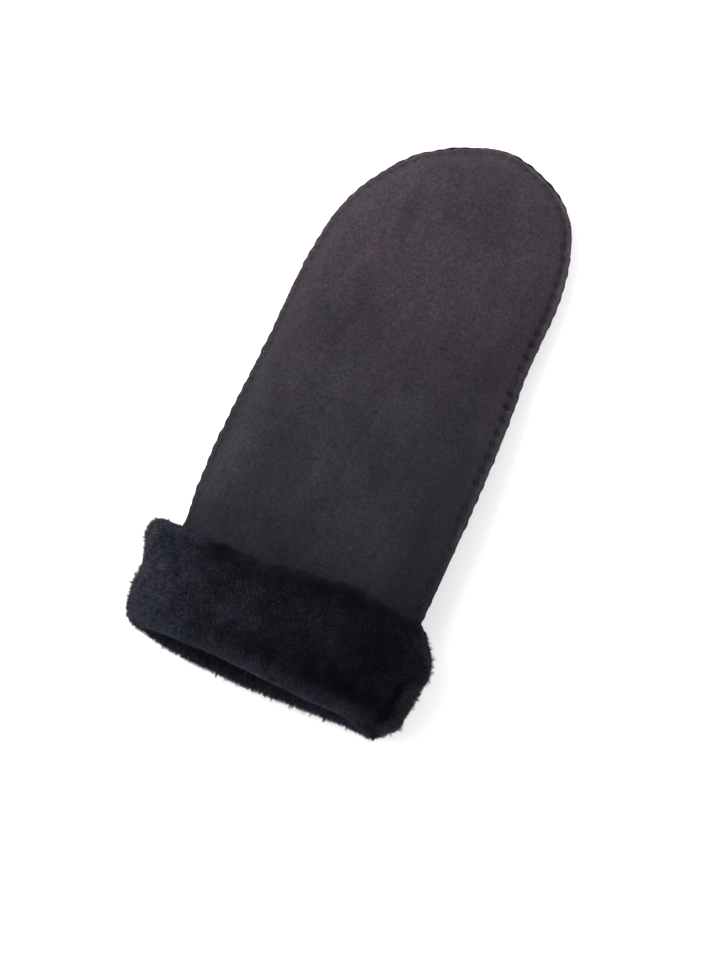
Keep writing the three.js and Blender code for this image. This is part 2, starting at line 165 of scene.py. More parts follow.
# Noise, smooth steps and smooth readings.
def smooth_noise(points, size, seed):
    """Soft noise from -1 to 1 at each of the points, with lumps of about the given size."""
    cell = np.asarray(points, float) / size
    base = np.floor(cell).astype(np.int64)
    share = cell - base
    share = share * share * (3 - 2 * share)
    total = np.zeros(cell.shape[:-1])
    for corner in itertools.product((0, 1), repeat=cell.shape[-1]):
        mixed = np.full(total.shape, seed * 7919 + 17, np.int64)
        weight = np.ones(total.shape)
        for axis, step in enumerate(corner):
            mixed = (mixed * 1103515245 + (base[..., axis] + step) * 668265263 + 12345) % 2147483647
            mixed ^= mixed >> 13
            weight *= share[..., axis] if step else 1 - share[..., axis]
        total += weight * ((mixed * 48271 % 65521) / 32760.5 - 1)
    return total


def noise_sum(points, layers, seed=0):
    """Layers of noise added up: size of the lumps, seed past the one given, strength of each."""
    return sum(strength * smooth_noise(points, size, seed + own) for size, own, strength in layers)


def smoothstep(value, low, high):
    share = np.clip((value - low) / (high - low), 0, 1)
    return share * share * (3 - 2 * share)


def bell(value, width):
    return np.exp(-((value / width) ** 2))


def unit(vectors):
    return vectors / np.maximum(np.linalg.norm(vectors, axis=-1, keepdims=True), 1e-9)


def patch_sum(patches, across, along):
    """Soft round patches added up: across, along, half across, half along and strength of each."""
    total = np.zeros(across.shape)
    for mid_across, mid_along, half_across, half_along, strength in patches:
        away = ((across - mid_across) / half_across) ** 2 + ((along - mid_along) / half_along) ** 2
        total += strength * np.exp(-away)
    return total


def read_column(table, column, along):
    """A smooth reading of one column of a table at any places along the mitten."""
    rows = np.asarray(table, float)
    keys, values = rows[:, 0], rows[:, column]
    last = len(keys) - 1
    place = np.clip(along, keys[0], keys[last])
    row = np.clip(np.searchsorted(keys, place) - 1, 0, last - 1)
    order = np.arange(last + 1)
    before, after = np.maximum(order - 1, 0), np.minimum(order + 1, last)
    slopes = (values[after] - values[before]) / (keys[after] - keys[before])
    span = keys[row + 1] - keys[row]
    share = (place - keys[row]) / span
    rise = values[row + 1] - values[row]
    start_bend = slopes[row] * span - rise
    end_bend = rise - slopes[row + 1] * span
    bend = start_bend + (end_bend - start_bend) * share
    return values[row] + rise * share + share * (1 - share) * bend


def read_line(places, reached, line):
    """The points of a line at the given distances along it."""
    return np.stack([np.interp(places, reached, column) for column in line.T], axis=1)


def distances(line):
    """How far along the line each of its points lies."""
    return np.concatenate([[0], np.cumsum(np.hypot(*np.diff(line, axis=0).T))])


def evenly_spaced(line, count):
    """The line cut into equal steps."""
    reached = distances(line)
    return read_line(np.linspace(0, reached[-1], count + 1), reached, line)


def outline_curve(points, closed, count):
    """Evenly spaced places on a smooth curve through the points, and its length."""
    given = np.array(points, float)
    if closed:
        ring = np.vstack([given[-1:], given, given[:2]])
    else:
        ring = np.vstack([2 * given[0] - given[1], given, 2 * given[-1] - given[-2]])
    before, start, end, after = ring[:-3], ring[1:-2], ring[2:-1], ring[3:]
    first, step, last = (
        np.sqrt(np.hypot(*(b - a).T))[:, None] for a, b in ((before, start), (start, end), (end, after)))
    leave = ((start - before) / first - (end - before) / (first + step) + (end - start) / step) * step
    arrive = ((end - start) / step - (after - start) / (step + last) + (after - end) / last) * step
    t = np.linspace(0, 1, CURVE_STEPS, endpoint=False)[:, None, None]
    dense = (start + leave * t + (3 * (end - start) - 2 * leave - arrive) * t ** 2
             + (2 * (start - end) + leave + arrive) * t ** 3)
    dense = np.vstack([dense.swapaxes(0, 1).reshape(-1, 2), ring[-2:-1]])
    return evenly_spaced(dense, count), distances(dense)[-1]


# Meshes and pieces.
def link_piece(name, data):
    piece = bpy.data.objects.new(name, data)
    bpy.context.collection.objects.link(piece)
    return piece


def link_mesh(name, points, faces):
    """A smooth mesh object from millimetre points."""
    placed = points.copy()
    placed[:, 1] -= ORIGIN_ALONG
    mesh = bpy.data.meshes.new(name)
    mesh.from_pydata((placed * MM).tolist(), [], faces)
    mesh.validate()
    mesh.shade_smooth()
    return link_piece(name, mesh)


def store_values(mesh, name, values):
    mesh.attributes.new(name, "FLOAT", "POINT").data.foreach_set("value", values)


def make_mesh(name, vertices, faces, **values):
    """A piece from millimetre points and their values, welded and with its faces turned outwards."""
    flat = np.asarray(vertices, float).reshape(-1, 3)
    _, first, place = np.unique(
        np.round(flat / WELD).astype(np.int64), axis=0, return_index=True, return_inverse=True)
    points, place = flat[first], place.reshape(-1)
    corners = place[faces]
    a, b, c, d = (points[corners[:, k]] for k in range(4))
    if sum(np.einsum("ij,ij->i", a, np.cross(*pair)).sum() for pair in ((b, c), (c, d))) < 0:
        corners = corners[:, ::-1]
    kept = []
    for face in corners.tolist():
        loop = [v for k, v in enumerate(face) if v != face[k - 1]]
        if len(set(loop)) == len(loop) and len(loop) > 2:
            kept.append(loop)
    piece = link_mesh(name, points, kept)
    for key, numbers in values.items():
        stored = np.zeros(len(points))
        stored[place] = np.ravel(numbers)
        store_values(piece.data, key, stored)
    return piece, place


def seat(piece, slot, finish, *nodes):
    """Gives a piece its finish, its body and the CAD nodes that it stands for."""
    piece.data.materials.clear()
    piece.data.materials.append(finish)
    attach(piece, "root")
    if nodes:
        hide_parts(*nodes)
    return piece


def grid_faces(index):
    """The four corners of each face of a grid of point numbers."""
    return np.stack([index[:-1, :-1], index[:-1, 1:], index[1:, 1:], index[1:, :-1]], -1).reshape(-1, 4)


def layer_faces(rows, columns, open_base):
    """The faces round a closed layer, from its outer grid of points and then its inner one."""
    outer = np.arange(rows * columns).reshape(rows, columns)
    inner = outer + outer.size
    faces = [grid_faces(outer), grid_faces(inner)[:, ::-1]]
    for column, turn in ((0, 1), (columns - 1, -1)):
        rim = [outer[:-1, column], outer[1:, column], inner[1:, column], inner[:-1, column]]
        faces.append(np.stack(rim, -1)[:, ::turn])
    if open_base:
        faces.append(np.stack([outer[0, 1:], outer[0, :-1], inner[0, :-1], inner[0, 1:]], -1))
    return np.vstack(faces)


# A pouch's plan: rows join its two edges through a spine that stops short of each rounded end.
def make_plan(edges, rows, spine_along, flanges, reach, heights, round_base):
    ring = edges[0] + edges[1][::-1][1:-1 if round_base else None]
    around, length = outline_curve(ring, round_base, 2 * rows)
    left, right = around[:rows + 1], around[rows:][::-1]
    middle = (left + right) / 2
    return {
        "edges": (left, right), "spine": np.stack([middle[:, 0], spine_along(middle[:, 1])], axis=1),
        "flanges": (flanges(left, True), flanges(right, False)), "reach": reach, "heights": heights,
        "round_base": round_base, "to_tip": (rows - np.arange(rows + 1)) * (length / (2 * rows)),
    }


def hand_spine(along):
    bend, end = HAND_SPINE_BEND, HAND_SPINE_END
    return np.where(along < bend, along, bend + (end - bend) * (along - bend) / (TIP_ALONG - bend))


def hand_flanges(edge, on_little_finger_side):
    wide = LITTLE_FINGER_FLANGE if on_little_finger_side else THUMB_SIDE_FLANGE
    return wide + (FLANGE - wide) * smoothstep(edge[:, 1], 240, TIP_ALONG)


def hand_plan(side, rows):
    """The hand's plan, whose first row slants with the cuff."""
    edges = []
    for edge in (LITTLE_FINGER_EDGE, THUMB_SIDE_EDGE):
        across, along = edge[0]
        if side == PALM:
            along += PALM_FOLD_SHIFT * (CUFF_TOP_ALONG - BODY_BASE_ALONG) / CUFF_TOP_ALONG
        edges.append([(across, along + CUFF_SLANT * across)] + edge[1:])
    return make_plan(edges, rows, hand_spine, hand_flanges, HAND_REACH, HAND_HEIGHTS, False)


def thumb_spine(along):
    return THUMB_SPINE_START + THUMB_SPINE_LENGTH * (along - THUMB_BASE_ALONG) / (
        THUMB_TIP_ALONG - THUMB_BASE_ALONG)


def thumb_flanges(edge, on_inner_side):
    """The thumb's flange, which is narrow where the thumb folds out of the palm."""
    low, high = (118, 146) if on_inner_side else (THUMB_BASE_ALONG, 74)
    return THUMB_CREASE_FLANGE + (THUMB_FLANGE - THUMB_CREASE_FLANGE) * smoothstep(edge[:, 1], low, high)


def thumb_plan(rows):
    edges = (THUMB_INNER_EDGE, THUMB_OUTER_EDGE)
    return make_plan(edges, rows, thumb_spine, thumb_flanges, THUMB_REACH, THUMB_HEIGHTS, True)


def pillow(ratio):
    """The arch of a skin over its pile, from 0 at the seam to 1."""
    rest = 1 - np.clip(ratio, 0, 1)
    return np.power(1 - rest ** 3, 0.8)


def skin_rise(plan, side, along):
    seam = read_column(plan["heights"], 1, along)
    face = read_column(plan["heights"], 2 if side == BACK else 3, along)
    return np.abs(face - seam) - SKIN - GAP / 2


def plan_grid(plan, flange_steps, rim_steps, inner_shares):
    """The plan's places row by row: how far in from the edge, past the seam, and along the seam."""
    rim = np.array(rim_steps, float)[None, :]
    halves = []
    for edge, flange, turn in zip(plan["edges"], plan["flanges"], (-1, 1)):
        flange = flange[:, None]
        run = plan["spine"] - edge
        length = np.hypot(run[:, 0], run[:, 1])[:, None]
        past_rim = flange + rim[:, -1:]
        inside = np.hstack([
            flange * np.array(flange_steps)[None, :],
            flange + rim,
            past_rim + (length - past_rim) * np.array(inner_shares)[None, :],
        ])
        columns = inside.shape[1]
        halves.append([
            edge[:, None, :] + run[:, None, :] * (inside / length)[:, :, None],
            inside,
            inside - flange,
            np.repeat((-run / length)[:, None, :], columns, axis=1),
            np.repeat((plan["to_tip"] * turn)[:, None], columns, axis=1),
            np.repeat(flange, columns, axis=1),
        ])
    names = ("place", "inside", "past", "outward", "reached", "flange")
    return {name: np.concatenate([left, right[:, ::-1][:, 1:]], axis=1)
            for name, left, right in zip(names, *halves)}


def close_ends(values, round_base):
    """Makes the two halves of a rounded end's row the same."""
    for row in (-1, 0) if round_base else (-1,):
        values[row] = (values[row] + values[row, ::-1]) / 2
    return values


def grid_normals(points, side, round_base):
    """Outward directions of a grid of points, whose rows run on past a rounded end."""
    start = points[1, ::-1] if round_base else 2 * points[0] - points[1]
    padded = np.concatenate([start[None], points, points[-2, ::-1][None]])
    down = (padded[2:] - padded[:-2]) / 2
    normal = np.cross(np.gradient(points, axis=1), down)
    size = np.linalg.norm(normal, axis=2, keepdims=True)
    normal = np.where(size > 1e-6, normal / np.maximum(size, 1e-9), (0, 0, side))
    return normal * np.sign(normal[:, :, 2:] * side + 1e-12)


# across, along, across, along, half-width, depth of the faint folds in the back
CREASES = [
    (52, 168, 36, 150, 3.0, 0.75),
    (50, 152, 30, 140, 3.4, 0.6),
    (57, 192, 44, 176, 2.4, 0.5),
    (-52, 196, -38, 206, 3.5, 0.4),
    (40, 262, 22, 250, 4.5, 0.45),
]
# across, along, half across, half along, strength of the lighter and darker patches on the back of the
# hand: brushed nap, partly painted light and shade, such as the painted shade at the middle of the
# fingertips where the skin dips
SUEDE_PATCHES = [
    (-9, 111, 11, 16, 0.34), (-14, 150, 22, 15, 0.12), (-44, 226, 14, 30, 0.14), (-16, 266, 20, 13, 0.12),
    (42, 140, 16, 26, -0.16), (56, 84, 14, 26, -0.22), (-34, 88, 16, 14, -0.12), (-2, 66, 50, 9, -0.1),
    (10, 258, 10, 13, -0.14), (26, 190, 14, 18, -0.1), (-30, 180, 9, 20, -0.1), (14, 118, 10, 20, -0.08),
    (-50, 96, 9, 18, 0.1), (34, 212, 12, 16, 0.08), (44, 252, 10, 18, 0.08), (-24, 100, 16, 16, 0.12),
    (46, 98, 12, 14, -0.07), (-47, 127, 10, 22, -0.05), (3, 151, 14, 14, -0.06),
]
# The same for the light and dark patches of the pile on the cuff's back: partly the nap's own tone, partly
# painted light and shade where the nap catches the light or turns from it.
NAP_LIGHT_AND_SHADE_PATCHES = [
    (51, 50, 17, 10, -0.3), (1, 27, 7, 15, -0.1), (46, 14, 24, 8, -0.42), (-20, 50, 16, 7, -0.14),
    (-46, 28, 24, 24, 0.08), (20, 38, 14, 12, 0.12), (62, 5, 14, 6, 0.24), (-10, 36, 22, 13, 0.45),
    (28, 37, 13, 11, 0.5), (57, 38, 8, 12, -0.12), (34, 4, 12, 6, 0.1),
]


def crease_depth(place):
    depth = np.zeros(place.shape[:2])
    for x0, y0, x1, y1, half, deep in CREASES:
        start, run = np.array([x0, y0]), np.array([x1 - x0, y1 - y0], float)
        share = np.clip(((place - start) @ run) / (run @ run), 0, 1)
        away = np.linalg.norm(place - start - share[:, :, None] * run, axis=2)
        depth += deep * bell(away, half) * np.sin(math.pi * np.clip(share, 0.08, 0.92))
    return depth


# How the skins settle over the pile: a cloth simulation on a coarse, even copy of each panel.
SETTLE_ROW_STEP = 5
SETTLE_COLUMNS = 24
SETTLE_FRAMES = 20
SETTLE_PRESSURE = 5
SETTLE_STIFFNESS = 12
SETTLE_BENDING = 8
SETTLE_MOST = 1.6
SETTLE_INWARDS = 0.3
SETTLE_RIM = 6
HELD_BY_CUFF = 62


def eased_read(pick, at, last):
    """A smooth reading between evenly spaced values, which pick gives by their numbers."""
    step = np.clip(np.floor(at).astype(int), 0, last - 1)
    before, start, end, after = (pick(np.clip(step + k, 0, last)) for k in (-1, 0, 1, 2))
    share = (at - step).reshape(at.shape + (1,) * (start.ndim - at.ndim))
    bend = 2 * before - 5 * start + 4 * end - after + share * (3 * (start - end) + after - before)
    return start + 0.5 * share * (end - before + share * bend)


def even_out(moves, round_base):
    """Each place's move averaged with its neighbours', across the folded rows too."""
    before = moves[1, ::-1] if round_base else moves[0]
    rows = np.concatenate([before[None], moves, moves[-2, ::-1][None]])
    rows = (rows[:-2] + 2 * rows[1:-1] + rows[2:]) / 4
    rows[:, 1:-1] = (rows[:, :-2] + 2 * rows[:, 1:-1] + rows[:, 2:]) / 4
    return rows


def cloth_moves(coarse, side, round_base):
    """How far the cloth simulation moves each point of the coarse copy."""
    index = np.arange(coarse.shape[0] * coarse.shape[1]).reshape(coarse.shape[:2])
    skin, place = make_mesh("settling_skin", coarse, grid_faces(index))
    held = np.zeros(coarse.shape[:2], bool)
    held[:, [0, -1]] = True
    held |= (not round_base) & (coarse[:, :, 1] < HELD_BY_CUFF)
    sewn = skin.vertex_groups.new(name="sewn")
    sewn.add(np.unique(place[held.ravel()]).tolist(), 1, "REPLACE")
    upwards = sum(face.normal.z * face.area for face in skin.data.polygons)
    cloth = skin.modifiers.new("settling", "CLOTH")
    cloth.settings.tension_stiffness = SETTLE_STIFFNESS
    cloth.settings.compression_stiffness = SETTLE_STIFFNESS
    cloth.settings.bending_stiffness = SETTLE_BENDING
    cloth.settings.use_pressure = True
    cloth.settings.uniform_pressure_force = SETTLE_PRESSURE * side * math.copysign(1, upwards)
    cloth.settings.vertex_group_mass = "sewn"
    cloth.settings.effector_weights.gravity = 0
    cloth.collision_settings.use_collision = False
    cloth.point_cache.frame_end = SETTLE_FRAMES
    started, ended = np.zeros((2, 3 * len(skin.data.vertices)))
    skin.data.vertices.foreach_get("co", started)
    for number in range(1, SETTLE_FRAMES + 1):
        bpy.context.scene.frame_set(number)
    settled = skin.evaluated_get(bpy.context.evaluated_depsgraph_get())
    settled.data.vertices.foreach_get("co", ended)
    bpy.data.objects.remove(skin)
    bpy.context.scene.frame_set(1)
    return ((ended - started) / MM).reshape(-1, 3)[place].reshape(coarse.shape)


def settle(points, past, side, round_base):
    """Lets a panel's skin swell over its pile, held all along its edge."""
    steps = np.linalg.norm(np.diff(points[:, :, :2], axis=1), axis=2)
    reached = np.hstack([np.zeros((len(points), 1)), np.cumsum(steps, axis=1)])
    share = reached / reached[:, -1:] * SETTLE_COLUMNS
    columns = np.arange(SETTLE_COLUMNS + 1)
    coarse = close_ends(np.array([
        read_line(columns, share[row], points[row]) for row in range(0, len(points), SETTLE_ROW_STEP)
    ]), round_base)
    moves = cloth_moves(coarse, side, round_base)
    moves = even_out(even_out(moves, round_base), round_base)
    size = np.maximum(np.linalg.norm(moves, axis=2, keepdims=True), 1e-9)
    moves *= SETTLE_MOST * np.tanh(size / SETTLE_MOST) / size
    moves[:, :, 2] = np.maximum(moves[:, :, 2] * side, -SETTLE_INWARDS) * side
    between = eased_read(
        lambda k: moves[k], np.arange(len(points)) / SETTLE_ROW_STEP, len(coarse) - 1)
    row = np.arange(len(points))[:, None]
    fine = eased_read(lambda k: between[row, k], share, SETTLE_COLUMNS)
    return points + fine * smoothstep(past, 0, SETTLE_RIM)[:, :, None]


# Ranges along or across in which something fades in: the palm resting on the thumb, the stitches
# growing faint, and the palm's raw edge showing past the back's at the fingertips.
ON_THUMB_ACROSS = (-8, -2)
QUIET_ALONG, QUIET_ACROSS = (255, 267), (-30, -5)
TIP_EDGE_ALONG, TIP_EDGE_ACROSS, TIP_EDGE_LAG = (262, 272), (-20, 20), 15
TIP_EDGE_SHIFT = {BACK: -0.8, PALM: 0.4}


def over_thumb(place):
    """How fully a place on the palm rests on the thumb, from 0 to 1."""
    along = place[:, :, 1]
    return (smoothstep(place[:, :, 0], *ON_THUMB_ACROSS)
            * smoothstep(along, THUMB_BASE_ALONG - 6, THUMB_BASE_ALONG)
            * (1 - smoothstep(along, THUMB_TIP_ALONG + 1, THUMB_TIP_ALONG + 9)))


def quiet_seam(place):
    """How faint the stitches are, from 0 to 1: they hardly show over the fingertips."""
    return smoothstep(place[..., 1], *QUIET_ALONG) * smoothstep(place[..., 0], *QUIET_ACROSS)


def tip_edge(place):
    """How far the palm's raw edge shows past the back's, from 0 to 1, round the fingertips."""
    across = place[:, :, 0]
    along = place[:, :, 1] - TIP_EDGE_LAG * smoothstep(across, *TIP_EDGE_ACROSS)
    return smoothstep(along, *TIP_EDGE_ALONG) * (1 - 0.7 * bell(across + 2, 9))


# The seam, in millimetres and shares: how softly a skin turns out of it, less so at a stitch, and over how
# wide a strip, how far its raw edge waves with the stitches, loosely and finely, less so at the thumb's
# side, how deep its puckers are, and where the stitches pull.
SEAM_TURN, SEAM_TURN_HELD, SEAM_STRIP = 2.2, 0.45, 3
EDGE_STRIP = 4
EDGE_WAVES = (0.36, 0.28, 0.22)
CALM_EDGE = 0.14
PUCKER_DEPTH, PUCKER_STRIP = 0.32, 4.2
IN_SEAM = 0.2
STITCH_LINE = -0.1
QUIET_SHARE = 0.75
SEWN_FLANGES = (1.2, 2.3)
STITCHED_ABOVE = 56
STITCHED_FLANGE = 2.4
# Past the seam the broad waves fade in, and along the hand the skin gets firmer. The waves' and stretched
# ripples' layers of noise: size, seed past the panel's own, strength.
WAVES_PAST_SEAM = (2, 16)
FIRM_ALONG = (90, 180)
SKIN_WAVES = ((46, 2, 0.75), (21, 3, 0.32))
SKIN_RIPPLES, RIPPLE_STRETCH = ((9, 4, 0.08),), (1.6, 0.8)


def suede_panel(name, node, plan, side, seed, wave, creased):
    """One cut of skin, sewn round its edge: a closed layer with puckers, ripples and faint folds."""
    round_base = plan["round_base"]
    grid = plan_grid(plan, SEAM_STEPS, RIM_STEPS, INNER_SHARES)
    place, inside, past, flange = (grid[key] for key in ("place", "inside", "past", "flange"))
    reached = grid["reached"]
    along = place[:, :, 1]
    seam = read_column(plan["heights"], 1, along)
    held = 0.5 - 0.5 * np.cos(2 * math.pi * reached / STITCH_PITCH)
    if side == PALM:
        held = 1 - held
    sewn = smoothstep(flange, *SEWN_FLANGES)
    wavy = smoothstep(-place[:, :, 0], -12, 12) if creased else np.ones(along.shape)
    at_tip = tip_edge(place)
    line = np.stack([reached, np.full(reached.shape, float(seed))], -1)
    loose = smooth_noise(line, 11, seed)
    fine = smooth_noise(line, 4.3, seed + 1)
    shared = smooth_noise(line * (1, 0), 17, 5)

    # The panel's arch over the pile, and its raw edge.
    inwards = np.maximum(past, 0)
    soft = SEAM_TURN * (1 - SEAM_TURN_HELD * held * sewn * bell(inwards, SEAM_STRIP))
    eased = 0.5 * (past + np.sqrt(past ** 2 + soft ** 2))
    at_edge = 0.5 * (np.sqrt(flange ** 2 + soft ** 2) - flange) * np.exp(-inwards / EDGE_STRIP)
    rise = skin_rise(plan, side, along) * (
        pillow(eased / plan["reach"]) - pillow(at_edge / plan["reach"]))
    on_edge = np.clip(1 - inside / flange, 0, 1)
    scallop = sum(part * size for part, size in zip((0.5 - held, loose, fine), EDGE_WAVES))
    scallop = scallop * sewn * (CALM_EDGE + (1 - CALM_EDGE) * wavy) + at_tip * TIP_EDGE_SHIFT[side]
    place += grid["outward"] * (scallop * on_edge)[:, :, None]
    points = close_ends(np.dstack([place, seam + side * (GAP / 2 + SKIN + rise)]), round_base)
    level = points[:, :, 2].copy()
    points = settle(points, past, side, round_base)

    # Broad waves, puckers, the dimple at each stitch and faint folds, pushed along the skin's direction.
    body = smoothstep(past, *WAVES_PAST_SEAM)
    if not round_base:
        body *= smoothstep(along, CUFF_TOP_ALONG - 6, CUFF_TOP_ALONG + 8)
    swell = noise_sum(place, SKIN_WAVES, seed) + noise_sum(place * RIPPLE_STRETCH, SKIN_RIPPLES, seed)
    firm = 0.55 + 0.6 * smoothstep(along, *FIRM_ALONG)
    pulled = held ** 3 * (0.8 + 0.5 * loose) * firm * (1 - QUIET_SHARE * quiet_seam(place))
    dimple = bell(past - STITCH_LINE, 1.6 - 0.3 * wavy) * pulled
    pucker = np.exp(-inwards / PUCKER_STRIP) * smoothstep(past, -1, 2.2) * (0.5 - held)
    pucker *= 1 + 0.7 * loose
    push = wave * body * swell + sewn * (PUCKER_DEPTH * pucker - (0.9 - 0.55 * wavy) * dimple)
    if creased:
        push -= crease_depth(place) * body
    in_seam = (past < IN_SEAM)[:, :, None]
    points += np.where(in_seam, (0, 0, side), grid_normals(points, side, round_base)) * push[:, :, None]
    if side == PALM and not round_base:
        points[:, :, 2] -= np.minimum(points[:, :, 2] - level, 0) * over_thumb(place)
    elif side == BACK and round_base:
        points[:, :, 2] = np.minimum(points[:, :, 2], THUMB_TOP_HEIGHT)
    lift = on_edge ** 1.5 * (0.28 + 0.28 * fine) * (1 - held) * side + 0.5 * shared * on_edge
    points[:, :, 2] += lift * sewn
    points = close_ends(points, round_base)
    normal = np.where(in_seam, (0, 0, side), grid_normals(points, side, round_base))
    inner = close_ends(points - normal * SKIN, round_base)
    if side == PALM:
        points[:, :, 2] = np.maximum(points[:, :, 2], SKIN_FLOOR)

    # Where the suede is lighter at its flange and raw edge, from wear and a painted highlight, where
    # painted shade darkens its stitch holes, its seam's valley and the palm's edge under the back's at the
    # fingertips, and the lighter and darker patches of its brushed nap, partly painted light and shade.
    # Wear and a painted highlight along the flange and raw edge, stronger on the thumb's side.
    wear_and_edge_highlight = sewn * (0.55 * smoothstep(on_edge, 0.1, 0.4) + 0.45 * on_edge ** 3) * (0.9 + 0.4 * fine)
    wear_and_edge_highlight *= 1.35 - 0.35 * wavy
    # Painted shade in each stitch hole and along the seam's valley, stronger on the thumb's side.
    hole = bell(past - STITCH_LINE, 1.45 - 0.35 * wavy) * pulled
    painted_seam_shade = sewn * (0.3 * bell(past - 0.9, 2.1) + (0.95 - 0.65 * wavy) * hole)
    # At the fingertips the palm's raw edge lies under the back's edge: it loses its painted highlight and
    # gets painted shade.
    if side == PALM:
        wear_and_edge_highlight *= 1 - at_tip
        painted_seam_shade += 0.9 * at_tip * smoothstep(on_edge, 0, 0.4)
    # The nap patches, partly painted light and shade.
    nap = patch_sum(SUEDE_PATCHES if creased else [], place[:, :, 0], along)
    values = {key: np.stack([both, both]) for key, both in (("wear_and_edge_highlight", wear_and_edge_highlight), ("painted_seam_shade", painted_seam_shade), ("nap", nap))}
    faces = layer_faces(*along.shape, not round_base)
    piece, _ = make_mesh(name, np.stack([points, inner]), faces, **values)
    seat(piece, "suede", SUEDE, node)

    column = len(SEAM_STEPS) - 1
    line, places, wide = (
        np.concatenate([table[:, column], table[::-1, -1 - column][1:]])
        for table in (points, reached, flange))
    return piece, (line, places, (wide > STITCHED_FLANGE) & (line[:, 1] > STITCHED_ABOVE), side)


# Stitches: half length, half width and half height, how far their ends dive into the skin, how far all
# of a stitch stands out of it or sinks in over the fingertips, and how low one may lie.
STITCH_SIZE = (1.35, 0.36, 0.3)
STITCH_DIVE = 0.4
STITCH_STAND = 0.04
STITCH_SINK = 0.26
STITCH_FLOOR = 0.03


def stitch_shape():
    """One stitch, fat in its middle and thin where it goes into the holes."""
    bpy.ops.mesh.primitive_uv_sphere_add(segments=8, ring_count=8, radius=1)
    single = bpy.context.object
    bpy.ops.object.mode_set(mode="EDIT")
    bpy.ops.mesh.select_all(action="SELECT")
    bpy.ops.transform.rotate(value=math.pi / 2, orient_axis="Y", center_override=(0, 0, 0))
    bpy.ops.transform.resize(value=STITCH_SIZE, center_override=(0, 0, 0))
    bpy.ops.object.mode_set(mode="OBJECT")
    shape = np.array([corner.co for corner in single.data.vertices])
    faces = [list(face.vertices) for face in single.data.polygons]
    bpy.data.objects.remove(single)
    return shape, faces


def stitch_row(name, shape, faces, seams):
    """Copies of the stitch, set a little down into the skin along each seam's line."""
    vertices, polygons = [], []
    dive = STITCH_DIVE * (shape[:, 0] / STITCH_SIZE[0]) ** 4
    for line, places, kept, side in seams:
        first, last = places[kept].min(), places[kept].max()
        numbers = np.arange(math.ceil(first / STITCH_PITCH), math.floor(last / STITCH_PITCH))
        for centre in (numbers + (0.5 if side == BACK else 0)) * STITCH_PITCH:
            if np.interp(centre, places, kept.astype(float)) < 0.9:
                continue
            spot = read_line(centre + shape[:, 0], places, line)
            behind, ahead = read_line(np.array([centre - 1, centre + 1]), places, line)
            heading = (ahead - behind) * (1, 1, 0)
            heading /= np.linalg.norm(heading)
            spot += np.array([heading[1], -heading[0], 0]) * shape[:, 1:2]
            sink = dive + STITCH_SINK * quiet_seam(spot)
            spot[:, 2] += side * (shape[:, 2] + STITCH_STAND - sink)
            base = len(vertices) * len(shape)
            vertices.append(spot)
            polygons += [[base + k for k in face] for face in faces]
    points = np.vstack(vertices)
    points[:, 2] = np.maximum(points[:, 2], STITCH_FLOOR)
    piece = link_mesh(name, points, polygons)
    bpy.ops.object.select_all(action="DESELECT")
    piece.select_set(True)
    bpy.context.view_layer.objects.active = piece
    bpy.ops.object.mode_set(mode="EDIT")
    bpy.ops.mesh.select_all(action="SELECT")
    bpy.ops.mesh.normals_make_consistent(inside=False)
    bpy.ops.object.mode_set(mode="OBJECT")
    return seat(piece, "thread", THREAD)


def lining_layer(name, plan, side, pile, rim, seed):
    """The pile between a panel and the hand's room, a closed layer."""
    round_base = plan["round_base"]
    grid = plan_grid(plan, [], LINING_RIM_STEPS, LINING_INNER_SHARES)
    place, past = grid["place"], grid["past"]
    along = place[:, :, 1]
    seam = read_column(plan["heights"], 1, along)
    rise = skin_rise(plan, side, along)
    points = np.dstack([place, seam + side * (GAP / 2 + SKIN + rise * pillow(past / plan["reach"]))])
    outer = points - grid_normals(points, side, round_base) * (SKIN + GAP + LINING_CLEARANCE)
    ratio = np.clip((past - rim) / (plan["reach"] - rim), 0, 1)
    arch = np.sqrt(1 - (1 - ratio) ** 2)
    room = np.maximum(rise - GAP - pile, LEAST_ROOM) * arch + noise_sum(place, LINING_CLUMPS, seed)
    inner = np.dstack([place, seam + side * (GAP / 2 + np.maximum(room, 0))])
    both = np.stack([close_ends(outer, round_base), close_ends(inner, round_base)])
    return make_mesh(name, both, layer_faces(*along.shape, not round_base), nap=0.4, height=0.5)[0]


# The cuff's ring. A turn runs from 0 at the thumb's side, over the back, round and under the palm, to 6.
def ring_point(along, out, turn):
    under = turn > 3
    part = np.where(under, 6 - turn, turn)
    share = np.maximum(out, 0) / CUFF_PILE
    inwards = INNER_SQUEEZE * np.minimum(out, 0)
    left = CUFF_SKIN_LEFT + (read_column(CUFF_REACH, 1, along) - CUFF_SKIN_LEFT) * share + inwards
    right = CUFF_SKIN_RIGHT + (read_column(CUFF_REACH, 2, along) - CUFF_SKIN_RIGHT) * share + inwards
    shoulder = CUFF_SHOULDER + SHOULDER_GROWTH * out
    angle = np.radians(90 * (np.clip(part, 0, 1) + np.clip(part - 2, 0, 1)))
    bend = shoulder * (1 - np.abs(np.cos(angle)))
    flat = np.clip(part - 1, 0, 1)
    middle = (right - shoulder) * (1 - flat) + (shoulder - left) * flat
    across = np.where(part <= 1, right - bend, np.where(part >= 2, -(left - bend), middle))
    rise = (CUFF_SKIN_RISE + out) * np.sin(angle)
    shift = np.where(under, PALM_FOLD_SHIFT * (CUFF_TOP_ALONG - along) / CUFF_TOP_ALONG, 0)
    place = along + shift * smoothstep(np.sin(angle), 0, 0.35) + CUFF_SLANT * across
    return np.stack([across, place, CUFF_MID_HEIGHT + np.where(under, PALM, BACK) * rise], axis=-1)


def profile_arc(along, out, half_along, half_out, start, end, steps):
    angle = np.radians(np.linspace(start, end, steps + 1))
    return np.stack([along + half_along * np.cos(angle), out + half_out * np.sin(angle)], axis=1)


